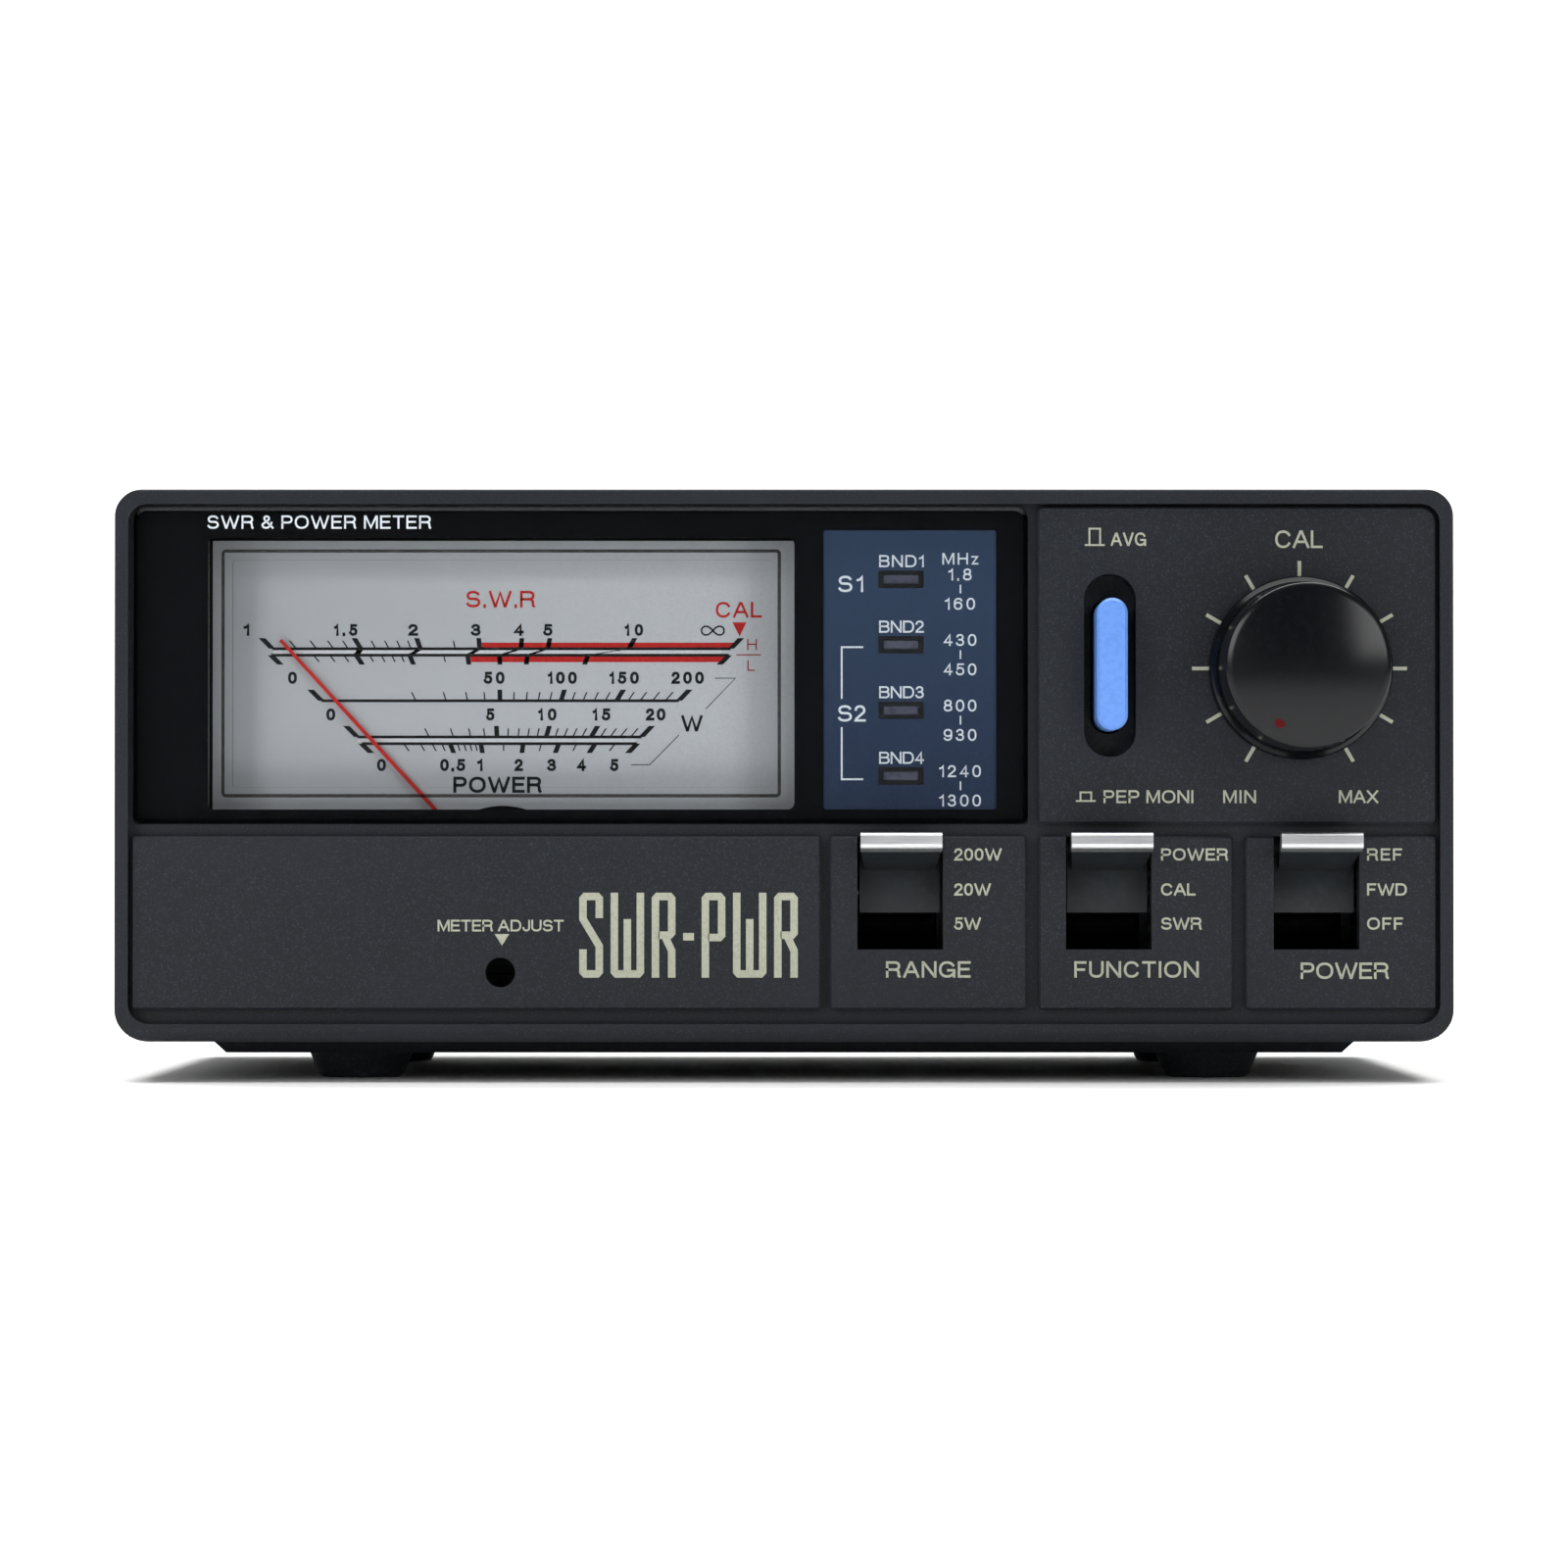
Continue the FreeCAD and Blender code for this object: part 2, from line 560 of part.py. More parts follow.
def movement_bridge():
    """Front and rear bridges that hold the jewel screws, and two spacers that hold the core."""
    front = tube_y(PIVOT_X, PIVOT_Z, HUB_RING_R, 1.2, 7.2, 8.0)
    for side in (-1, 1):
        x = PIVOT_X + side * 9.4
        z = PIVOT_Z - 5.9
        arm = Part.makeBox(8.0, 0.8, 3.4, Vector(-0.5, 0, -1.7))
        arm.rotate(Vector(0, 0, 0), Y_AXIS, 32 if side > 0 else 148)
        arm.translate(Vector(PIVOT_X + side * 4.6, 7.2, PIVOT_Z - 2.9))
        front = front.fuse(arm).fuse(rod_y(x, z, 1.4, 7.2, 12.0))
    front = front.cut(rod_y(PIVOT_X, PIVOT_Z, 1.2, 6, 9))
    # The ring's foot is cut away so that the zero adjuster clears it.
    front = front.cut(box(PIVOT_X - 4.5, PIVOT_X + 4.5, 7, 9, ADJUST_Z - 4, ADJUST_Z + 3.2))
    rear = box(PIVOT_X - 2, PIVOT_X + 2, 24.5, 25.3, PIVOT_Z - 12.3, PIVOT_Z + 12.3)
    for side in (-1, 1):
        rear = rear.fuse(rod_y(PIVOT_X, PIVOT_Z + side * 11.05, 1.3, 22.6, 24.6))
    rear = rear.cut(rod_y(PIVOT_X, PIVOT_Z, 1.2, 23, 27))
    gap = tube_y(PIVOT_X, PIVOT_Z, 9.6, 7.5, 13.05, 21.55)
    spacers = []
    for side in (-1, 1):
        block = box(PIVOT_X - 2.2, PIVOT_X + 2.2, 13.05, 21.55, 0, 11)
        block.translate(Vector(0, 0, PIVOT_Z if side > 0 else PIVOT_Z - 11))
        spacers.append(gap.common(block))
    return [front.removeSplitter(), rear.removeSplitter()] + spacers


def jewel_screws():
    """A front and a rear jewel screw, each with a cup for a pivot and a slot for a driver."""
    front = rod_y(PIVOT_X, PIVOT_Z, 1.2, 6.8, 8.5).cut(rod_y(PIVOT_X, PIVOT_Z, 0.45, 8.05, 9))
    front = front.cut(box(PIVOT_X - 2, PIVOT_X + 2, 6, 7.1, PIVOT_Z - 0.2, PIVOT_Z + 0.2))
    rear = rod_y(PIVOT_X, PIVOT_Z, 1.2, 24.1, 26.2).cut(rod_y(PIVOT_X, PIVOT_Z, 0.45, 23.5, 24.55))
    rear = rear.cut(box(PIVOT_X - 2, PIVOT_X + 2, 25.9, 27, PIVOT_Z - 0.2, PIVOT_Z + 0.2))
    return [front, rear]


def at_pointer_angle(shape):
    return turn_about(shape, Vector(PIVOT_X, 0, PIVOT_Z), Y_AXIS, POINTER_ANGLE)


def moving_coil():
    """The rectangular coil round the core, with its two pivots and the rear spring collet."""
    x, z = PIVOT_X, PIVOT_Z
    frame = box(x - 8.95, x + 8.95, 11.9, 22.65, z - 0.9, z + 0.9)
    coil = frame.cut(box(x - 8.1, x + 8.1, 12.65, 21.9, z - 2, z + 2))
    pivots = [rod_y(x, z, 0.4, 8.15, 12.0), rod_y(x, z, 0.4, 22.6, 24.45), rod_y(x, z, 0.9, 23.2, 23.8)]
    return at_pointer_angle(coil.multiFuse(pivots).removeSplitter())


def pointer():
    """The needle, its hub with the front spring collet, and the tail that carries the weight."""
    x, z = PIVOT_X, PIVOT_Z
    y0, y1 = 9.3, 9.6
    low, high = NEEDLE_HALF
    needle = Part.makePolygon(
        [
            Vector(x - low, y0, z),
            Vector(x - high, y0, z + POINTER_LENGTH),
            Vector(x + high, y0, z + POINTER_LENGTH),
            Vector(x + low, y0, z),
            Vector(x - low, y0, z),
        ]
    )
    blade = Part.Face(needle).extrude(Vector(0, y1 - y0, 0))
    tail = box(x - 0.5, x + 0.5, y0, y1, z - 6.4, z)
    hub = rod_y(x, z, 1.5, 9.1, 9.9).fuse(rod_y(x, z, 0.9, 8.65, 9.2))
    body = blade.multiFuse([tail, hub]).cut(rod_y(x, z, 0.4, 8, 11))
    return at_pointer_angle(body.removeSplitter())


def balance_weight():
    """A wire-wound weight on the tail, which balances the needle about its pivots."""
    return at_pointer_angle(rod_y(PIVOT_X, PIVOT_Z - 5.3, 1.05, 9.6, 11.1))


def hairspring(y0, y1, turns, outer_r):
    """A flat spiral made of half circles. Its outer end lies to the left of the pivot."""
    strip, inner_r = 0.12, 1.0
    halves = int(turns * 2)
    step = (outer_r - inner_r) / halves
    x_left = -outer_r
    sign = 1
    sides = {"in": [], "out": []}
    ends = []
    for i in range(halves):
        radius = outer_r - step * (i + 0.5)
        centre = x_left + sign * radius
        for key, r in (("in", radius - strip / 2), ("out", radius + strip / 2)):
            start = Vector(PIVOT_X + centre - sign * r, y0, PIVOT_Z)
            middle = Vector(PIVOT_X + centre, y0, PIVOT_Z + sign * r)
            end = Vector(PIVOT_X + centre + sign * r, y0, PIVOT_Z)
            sides[key].append(Part.Arc(start, middle, end).toShape())
            if i in (0, halves - 1):
                ends.append(start if i == 0 else end)
        x_left = centre + sign * radius
        sign = -sign
    caps = [Part.makeLine(ends[0], ends[1]), Part.makeLine(ends[2], ends[3])]
    wire = Part.Wire(Part.__sortEdges__(sides["in"] + sides["out"] + caps))
    return Part.Face(wire).extrude(Vector(0, y1 - y0, 0))


def hairsprings():
    return [hairspring(8.72, 8.98, 2.5, 4.0), hairspring(23.35, 23.65, 2.5, 4.0)]


def zero_arm():
    """The lever that shifts the front spring's outer end. Its fork straddles the eccentric pin."""
    y0, y1 = 8.1, 8.5
    reach = PIVOT_Z - ADJUST_Z
    ring = rod_y(PIVOT_X, PIVOT_Z, 2.3, y0, y1)
    strip = box(PIVOT_X - 1.5, PIVOT_X + 1.5, y0, y1, PIVOT_Z - reach - 0.6, PIVOT_Z)
    side = box(PIVOT_X - 4.7, PIVOT_X, y0, y1, PIVOT_Z - 0.7, PIVOT_Z + 0.7)
    anchor = box(PIVOT_X - 4.7, PIVOT_X - 4.1, y0, 9.0, PIVOT_Z - 0.7, PIVOT_Z + 0.7)
    fork = box(PIVOT_X - 0.68, PIVOT_X + 0.68, 7, 10, ADJUST_Z - 2, ADJUST_Z + ECCENTRIC + 0.9)
    body = ring.multiFuse([strip, side, anchor]).cut(fork)
    return body.cut(rod_y(PIVOT_X, PIVOT_Z, 1.27, 7, 8.6)).removeSplitter()


def zero_screw():
    """The slotted adjuster, with an eccentric pin that stands in the zero arm's fork."""
    body = turned_y(
        PIVOT_X,
        ADJUST_Z,
        [
            (0, 4.6),
            (1.8, 4.6),
            (2.0, 4.8),
            (2.0, 6.7),
            (2.7, 6.7),
            (2.7, 7.3),
            (2.0, 7.3),
            (2.0, 7.9),
            (0, 7.9),
        ],
    )
    pin = rod_y(PIVOT_X, ADJUST_Z + ECCENTRIC, 0.5, 7.8, 8.8)
    slot = box(PIVOT_X - 3, PIVOT_X + 3, 4, 5.4, ADJUST_Z - 0.35, ADJUST_Z + 0.35)
    return body.fuse(pin).cut(slot).removeSplitter()


def meter_lamps():
    dome = [(0, 14.0), (1.1, 14.2), (1.9, 15.0), (2.1, 16.2), (2.1, 22.5)]
    base = [(2.6, 23.0), (2.6, 29.2), (0, 29.2)]
    return [turned_y(x, LAMP_Z, dome + base) for x in LAMP_X]


# ---- controls ----


def cal_knob():
    """A tapered knob with a low dome for a face, a hollow back and a hub with a flatted bore."""
    front, back = -KNOB_REACH, 0.2
    hollow_end = front + 4.2
    profile = [(r, front + DOME_DROP * (r / DOME_R) ** 2) for r in (0, 2.3, 4.6, 6.9, 8.2, DOME_R)]
    profile += [
        (9.42, front + DOME_DROP + 0.2),
        (9.75, back - 3.4),
        (9.95, back - 2.6),
        (10.5, back - 2.2),
        (10.6, back - 1.9),
        (10.6, back),
        (8.7, back),
        (8.2, hollow_end),
        (4.6, hollow_end),
        (4.6, -2.4),
        (0, -2.4),
    ]
    body = turned_y(KNOB_X, KNOB_Z, profile)
    bore = rod_y(KNOB_X, KNOB_Z, 3.0, hollow_end, 0).cut(shaft_flat(hollow_end, 0))
    return body.cut(bore)


def shaft_flat(y0, y1):
    """The block that the flat takes off the control's shaft."""
    return box(KNOB_X - 4, KNOB_X + 4, y0, y1, KNOB_Z + 1.5, KNOB_Z + 4)


def cal_shaft():
    start = -KNOB_REACH + 4.3
    shaft = rod_y(KNOB_X, KNOB_Z, 3.0, start, 8.0)
    wiper = rod_y(KNOB_X, KNOB_Z, 5.5, 8.0, 9.0)
    return shaft.cut(shaft_flat(start - OVER, -2.35)).fuse(wiper).removeSplitter()


def cal_pot_body():
    """The control's case and bushing, with three tags that run to the board."""
    body = rod_y(KNOB_X, KNOB_Z, 8.4, PLATE_BACK, 12.6).fuse(rod_y(KNOB_X, KNOB_Z, 3.5, -2.0, 6.0))
    cuts = [rod_y(KNOB_X, KNOB_Z, 3.05, -3, 7.9), rod_y(KNOB_X, KNOB_Z, 6.0, 7.8, 9.3)]
    body = body.cut(Part.makeCompound(cuts))
    for side in (-5, 0, 5):
        tag = box(
            KNOB_X + side - 0.6, KNOB_X + side + 0.6, 12.0, BOARD_BACK + 1.0, KNOB_Z - 5.2, KNOB_Z - 4.8
        )
        body = body.fuse(tag)
    return body.removeSplitter()


def cal_nut():
    """The nut and the washer that clamp the control to the panel."""
    washer = tube_y(KNOB_X, KNOB_Z, 5.6, 3.55, 0.3, TILE)
    return [washer, hex_nut_y(KNOB_X, KNOB_Z, 10.0, 3.5, -1.7, 0.3)]


def stadium(half_x, half_z, y0, y1):
    """A bar with full round ends on the button's column."""
    x, z = BUTTON_X, BUTTON_Z
    return slab(x - half_x, x + half_x, y0, y1, z - half_z, z + half_z, half_x - 0.01)


def avg_button():
    cap = stadium(1.77, 7.6, BUTTON_FRONT, 10.0)
    return chamfer_front(cap, BUTTON_FRONT, 0.3)


def avg_plunger():
    """The switch's square plunger, with a shoulder that its body keeps in."""
    x, z = BUTTON_X, BUTTON_Z
    stem = box(x - 1.2, x + 1.2, 10.0, 26.0, z - 1.2, z + 1.2)
    return stem.fuse(box(x - 2.2, x + 2.2, 20.0, 24.0, z - 2.2, z + 2.2)).removeSplitter()


def avg_switch_body():
    x, z = BUTTON_X, BUTTON_Z
    body = box(x - 3.6, x + 3.6, 18.4, BOARD_FRONT, z - 3.6, z + 3.6)
    cuts = [
        box(x - 1.3, x + 1.3, 17, 34, z - 1.3, z + 1.3),
        box(x - 2.3, x + 2.3, 19.8, 31.5, z - 2.3, z + 2.3),
    ]
    pins = [
        box(x + dx - 0.25, x + dx + 0.25, BOARD_FRONT - 0.5, BOARD_BACK + 1.0, z + dz - 0.4, z + dz + 0.4)
        for dx in (-2.5, 2.5)
        for dz in (-2.5, 0, 2.5)
    ]
    return body.cut(Part.makeCompound(cuts)).multiFuse(pins).removeSplitter()


def sector_x(x0, x1, outer, inner, half_angle):
    """Part of a tube about the lever's pivot, centred on the forward direction."""
    start, end = math.radians(-half_angle), math.radians(half_angle)

    def at(r, a):
        return Vector(x0, LEVER_Y - r * math.cos(a), LEVER_Z + r * math.sin(a))

    edges = [
        Part.Arc(at(outer, start), at(outer, 0), at(outer, end)).toShape(),
        Part.makeLine(at(outer, end), at(inner, end)),
        Part.Arc(at(inner, end), at(inner, 0), at(inner, start)).toShape(),
        Part.makeLine(at(inner, start), at(outer, start)),
    ]
    return Part.Face(Part.Wire(edges)).extrude(Vector(x1 - x0, 0, 0))


def raised(shape):
    """Turns a lever's piece, drawn level, to the top position."""
    return turn_about(shape, Vector(0, LEVER_Y, LEVER_Z), X_AXIS, -LEVER_ANGLE)


def paddle(x):
    """The tapered blade between the drum and the tip, with a thin tongue inside the tip."""
    root_y, shoulder_y = LEVER_Y - DRUM_R + 1.0, LEVER_Y - TIP_R + 2.4
    wires = []
    for y, half_x, half_z in ((root_y, 4.05, 1.15), (shoulder_y, 4.62, 0.92)):
        corners = [(-half_x, -half_z), (half_x, -half_z), (half_x, half_z), (-half_x, half_z)]
        points = [Vector(x + dx, y, LEVER_Z + dz) for dx, dz in corners]
        wires.append(Part.makePolygon(points + points[:1]))
    tongue = box(x - 3.7, x + 3.7, shoulder_y - 1.6, shoulder_y + OVER, LEVER_Z - 0.5, LEVER_Z + 0.5)
    return Part.makeLoft(wires, True, True).fuse(tongue)


def lever(x):
    """Hub, web, curved dust skirt, paddle and the tail that carries the contacts."""
    pieces = [
        rod_x(x - 4.3, x + 4.3, LEVER_Y, LEVER_Z, 3.3),
        sector_x(x - 4.65, x + 4.65, DRUM_R, DRUM_R - 1.5, 16),
        box(x - 3.4, x + 3.4, LEVER_Y - DRUM_R + 0.7, LEVER_Y, LEVER_Z - 1.3, LEVER_Z + 1.3),
        paddle(x),
        box(x - 1.4, x + 1.4, LEVER_Y, LEVER_Y + TAIL_R, LEVER_Z - 0.5, LEVER_Z + 0.5),
        rod_x(x - 1.4, x + 1.4, LEVER_Y + TAIL_R, LEVER_Z, 0.8),
    ]
    body = pieces[0].multiFuse(pieces[1:]).cut(rod_x(x - 6, x + 6, LEVER_Y, LEVER_Z, 1.05))
    return raised(body.removeSplitter())


def lever_tip(x):
    """The bright cap on the paddle's end, rounded along its front."""
    front, back = LEVER_Y - TIP_R, LEVER_Y - TIP_R + 2.4
    half_x, half_z = 4.67, 0.98
    cap = box(x - half_x, x + half_x, front, back, LEVER_Z - half_z, LEVER_Z + half_z)
    nose = [e for e in cap.Edges if e.BoundBox.XLength > 1 and abs(e.BoundBox.YMax - front) < 1e-6]
    cap = cap.makeFillet(0.6, nose)
    socket = box(x - 3.7, x + 3.7, back - 1.6, back + OVER, LEVER_Z - 0.5, LEVER_Z + 0.5)
    return raised(cap.cut(socket))


def lever_contact(x):
    """The silvered contact carrier, pressed over the lever's tail."""
    y0, y1 = LEVER_Y + TAIL_R - 1.1, LEVER_Y + TAIL_R + 1.5
    carrier = box(x - 4.4, x + 4.4, y0, y1, LEVER_Z - 1.9, LEVER_Z + 1.9)
    slot = box(x - 1.5, x + 1.5, y0 - OVER, y1 - 0.6, LEVER_Z - 0.9, LEVER_Z + 0.9)
    return raised(carrier.cut(slot))


def lever_switch_frame(x):
    """An open box with two cheeks for the pivot pin and six pins into the board."""
    outer = box(x - 5.8, x + 5.8, 22.8, BOARD_FRONT, 13.2, 30.7)
    inside = box(x - 4.7, x + 4.7, 20, 34.9, 14.3, 29.6)
    throat = box(x - 4.7, x + 4.7, 20, 30.8, 10, 34)
    frame = outer.cut(inside).cut(throat).cut(rod_x(x - 7, x + 7, LEVER_Y, LEVER_Z, 1.0))
    pins = [
        box(x + dx - 0.25, x + dx + 0.25, 35.2, BOARD_BACK + 1.0, LEVER_Z + dz - 0.4, LEVER_Z + dz + 0.4)
        for dx in (-3, 3)
        for dz in (-5, 0, 5)
    ]
    return frame.multiFuse(pins).removeSplitter()


def pivot_pins():
    return [rod_x(x - 6.3, x + 6.3, LEVER_Y, LEVER_Z, 1.0) for x in LEVER_X]


def control_board():
    """The board behind the controls, with its detector, comparator and passive parts."""
    board = box(5.5, 74.2, BOARD_FRONT, BOARD_BACK, 8.4, 65.2)
    cuts = [rod_y(x, z, 1.1, 35, 39) for x, z in BOARD_POSTS]
    # The pins of the parts on the other side pass through close-fitting holes.
    holes = []
    for z in band_centres():
        holes += [(BAND_X + s, z, 0.25, 0.25) for s in (-1.27, 1.27)]
    holes += [(KNOB_X + s, KNOB_Z - 5.0, 0.6, 0.2) for s in (-5, 0, 5)]
    holes += [(BUTTON_X + dx, BUTTON_Z + dz, 0.25, 0.4) for dx in (-2.5, 2.5) for dz in (-2.5, 0, 2.5)]
    holes += [(x + dx, LEVER_Z + dz, 0.25, 0.4) for x in LEVER_X for dx in (-3, 3) for dz in (-5, 0, 5)]
    cuts += [box(x - hx, x + hx, 35, 39, z - hz, z + hz) for x, z, hx, hz in holes]
    body = board.cut(Part.makeCompound(cuts))
    face = BOARD_BACK - 0.2
    chips = [box(x - 5, x + 5, face, 41, z - 3.2, z + 3.2) for x, z in CHIPS]
    cans = [rod_y(x, z, 2.5, face, 45) for x, z in CANS]
    small = [box(x - 1.6, x + 1.6, face, 39.2, z - 0.8, z + 0.8) for x, z in SMALL_PARTS]
    return body.multiFuse(chips + cans + small).removeSplitter()


def internal_screws():
    """The small screws that hold the control board and the meter housing to the bezel's posts."""
    screw = pan_screw(6.0, 1.0, 2.0, 1.3)
    made = [placed(screw, x, BOARD_BACK, z, Vector(0, -1, 0)) for x, z in BOARD_POSTS]
    made += [placed(screw, x, BASE_BACK + 1.6, z, Vector(0, -1, 0)) for x, z in METER_POSTS]
    dial_screw = pan_screw(4.0, 0.8, 1.5, 0.8)
    return made + [placed(dial_screw, x, DIAL_FRONT, z) for x, z in DIAL_SCREWS]


# ---- sensors and rear connectors ----


def flange_holes(x):
    return [(x + sx * FLANGE_HOLE, SOCKET_Z + sz * FLANGE_HOLE) for sx in (-1, 1) for sz in (-1, 1)]


def socket_flange(x):
    half = FLANGE / 2
    plate = slab(x - half, x + half, DEPTH, DEPTH + FLANGE_T, SOCKET_Z - half, SOCKET_Z + half, 1.2)
    return plate.cut(Part.makeCompound([rod_y(cx, cz, 1.6, 100, 110) for cx, cz in flange_holes(x)]))


def uhf_socket(x):
    """A flanged socket with a notched rim. Its barrel carries the coupling thread."""
    end = SOCKET_END
    barrel = rod_y(x, SOCKET_Z, THREAD_R, DEPTH + FLANGE_T, end)
    body = socket_flange(x).fuse(barrel).cut(rod_y(x, SOCKET_Z, 6.2, 100, end + OVER))
    for turn in (0, 45, 90, 135):
        notch = box(x - 10, x + 10, end - 0.8, end + OVER, SOCKET_Z - 0.6, SOCKET_Z + 0.6)
        body = body.cut(turn_about(notch, Vector(x, 0, SOCKET_Z), Y_AXIS, turn + 22.5))
    return body.removeSplitter()


def n_socket(x):
    """A flanged socket with a deep mouth and a relieved neck behind its thread."""
    end = SOCKET_END
    body = turned_y(
        x,
        SOCKET_Z,
        [
            (4.05, DEPTH),
            (9.2, DEPTH),
            (9.2, DEPTH + 3.0),
            (6.9, DEPTH + 3.0),
            (6.9, DEPTH + 4.6),
            (THREAD_R, DEPTH + 4.6),
            (THREAD_R, end),
            (4.05, end),
        ],
    )
    body = socket_flange(x).fuse(body).cut(rod_y(x, SOCKET_Z, 4.05, 100, end + OVER))
    return body.removeSplitter()


def socket_insulators():
    made = []
    end = SOCKET_END
    for x in UHF_X:
        body = rod_y(x, SOCKET_Z, 6.2, DEPTH, end - 1.3).fuse(rod_y(x, SOCKET_Z, 4.6, 98.0, DEPTH + OVER))
        cuts = [rod_y(x, SOCKET_Z, 2.6, DEPTH + 1.0, end), rod_y(x, SOCKET_Z, 1.5, 97, DEPTH + 2)]
        made.append(body.cut(Part.makeCompound(cuts)).removeSplitter())
    for x in N_X:
        body = rod_y(x, SOCKET_Z, 4.05, 98.0, DEPTH + 6.0)
        made.append(body.cut(rod_y(x, SOCKET_Z, 1.5, 97, 111)))
    return made


def socket_contacts():
    """Centre contacts: a 4 mm tube for each UHF socket, and a slim one for each N socket."""
    made = []
    end = SOCKET_END
    for x in UHF_X:
        tube = rod_y(x, SOCKET_Z, 2.6, DEPTH + 1.0, end - 1.6)
        tube = tube.fuse(rod_y(x, SOCKET_Z, 1.5, 88.5, DEPTH + 1.5))
        made.append(tube.cut(rod_y(x, SOCKET_Z, CONTACT_R, end - 13.6, end)).removeSplitter())
    for x in N_X:
        pin = rod_y(x, SOCKET_Z, 1.5, 88.5, end - 5.3)
        cuts = [rod_y(x, SOCKET_Z, 0.83, end - 10.5, end)]
        cuts.append(box(x - 2, x + 2, end - 9.0, end, SOCKET_Z - 0.12, SOCKET_Z + 0.12))
        made.append(pin.cut(Part.makeCompound(cuts)))
    return made


def socket_screws():
    screw = pan_screw(7.0, SCREW_R, 2.7, 1.6)
    holes = [hole for x in UHF_X + N_X for hole in flange_holes(x)]
    return [placed(screw, x, DEPTH + FLANGE_T, z, Vector(0, -1, 0)) for x, z in holes]


def sensor_box(centre, sockets):
    """A cast box behind two sockets, open towards the front of the meter."""
    half_x, half_z = BOX_HALF
    front = PANEL_FRONT - BOX_DEPTH
    wall = 2.0
    low, high = SOCKET_Z - half_z, SOCKET_Z + half_z
    left, right = centre - half_x, centre + half_x
    body = slab(left, right, front, PANEL_FRONT, low, high, 1.5)
    hollow = box(left + wall, right - wall, front - OVER, PANEL_FRONT - wall, low + wall, high - wall)
    body = body.cut(hollow)
    bosses = [rod_y(cx, cz, 2.8, 96.5, PANEL_FRONT - 0.5) for x in sockets for cx, cz in flange_holes(x)]
    cuts = [rod_y(x, SOCKET_Z, 4.7, 90, 110) for x in sockets]
    cuts += [rod_y(cx, cz, SCREW_R, 90, 110) for x in sockets for cx, cz in flange_holes(x)]
    return body.multiFuse(bosses).cut(Part.makeCompound(cuts)).removeSplitter()


def sensor_covers():
    """The two sheet covers, each with two holes where the screened leads come out."""
    front = PANEL_FRONT - BOX_DEPTH
    half_x, half_z = BOX_HALF
    covers = []
    for centre in BOX_X:
        left, right = centre - half_x, centre + half_x
        plate = slab(left, right, front - 1.0, front, SOCKET_Z - half_z, SOCKET_Z + half_z, 1.5)
        holes = [rod_y(centre + dx, LEAD_Z, 1.15, 70, 80) for dx in LEAD_DX]
        covers.append(plate.cut(Part.makeCompound(holes)))
    return covers


def inner_line(sockets, height, name_y):
    """The bar that joins two centre contacts inside a sensor box."""
    y0, y1 = name_y
    bar = box(sockets[0] - 3.5, sockets[1] + 3.5, y0, y1, SOCKET_Z - height / 2, SOCKET_Z + height / 2)
    return bar.cut(Part.makeCompound([rod_y(x, SOCKET_Z, 1.5, 80, 99) for x in sockets]))


def s1_toroid():
    """The ferrite ring of the current transformer, round the middle of the S1 line."""
    ring = rod_x(BOX_X[0] - 3, BOX_X[0] + 3, 90.0, SOCKET_Z, 8.2)
    return ring.cut(rod_x(BOX_X[0] - 5, BOX_X[0] + 5, 90.0, SOCKET_Z, 4.6))


def s1_winding():
    """Sixteen separate turns of wire round the ring."""
    turns, gap, wire = 16, 0.05, 0.5
    x = BOX_X[0]
    loops = []
    for i in range(turns):
        low, high = 4.6 - gap, 8.2 + gap
        outer = box(x - 3 - gap - wire, x + 3 + gap + wire, 89.75, 90.25, low - wire, high + wire)
        loop = outer.cut(box(x - 3 - gap, x + 3 + gap, 89, 91, low, high))
        loop.translate(Vector(0, 0, SOCKET_Z))
        loops.append(turn_about(loop, Vector(0, 90.0, SOCKET_Z), X_AXIS, 360.0 * (i + 0.5) / turns))
    return loops


def sensor_boards():
    """One detector board in each box, with its diodes, trimmers and feed-through pads."""
    made = []
    for centre, y0 in ((BOX_X[0], 79.0), (BOX_X[1], 84.0)):
        board = box(centre - 22, centre + 22, y0, y0 + 1.6, SOCKET_Z - 12.5, SOCKET_Z + 12.5)
        places = [(centre + dx, SOCKET_Z + dz) for dx in (-17, -6, 6, 17) for dz in (4, 9)]
        parts = [box(x - 1.2, x + 1.2, y0 - 1.2, y0 + 0.2, z - 0.8, z + 0.8) for x, z in places]
        parts += [rod_y(centre + dx, SOCKET_Z, 2.4, y0 - 1.8, y0 + 0.2) for dx in (-13, 13)]
        made.append(board.multiFuse(parts).removeSplitter())
    return made


def dc_jack():
    """A panel jack for a coaxial plug: flange, threaded body, contact pin and two tags."""
    z = SOCKET_Z
    body = rod_y(0, z, 5.4, DEPTH, DEPTH + 1.6).fuse(rod_y(0, z, 4.0, 90.0, DEPTH + OVER))
    body = body.cut(rod_y(0, z, 3.15, 93.0, DEPTH + 5))
    pin = rod_y(0, z, 1.05, 92.0, DEPTH + 0.6)
    tags = [box(dx - 0.9, dx + 0.9, 85.5, 90.5, z - 0.2, z + 0.2) for dx in (-2, 2)]
    return body.multiFuse([pin] + tags).removeSplitter()


def dc_nut():
    return hex_nut_y(0, SOCKET_Z, 11.0, 4.0, PANEL_FRONT - 2.2, PANEL_FRONT)


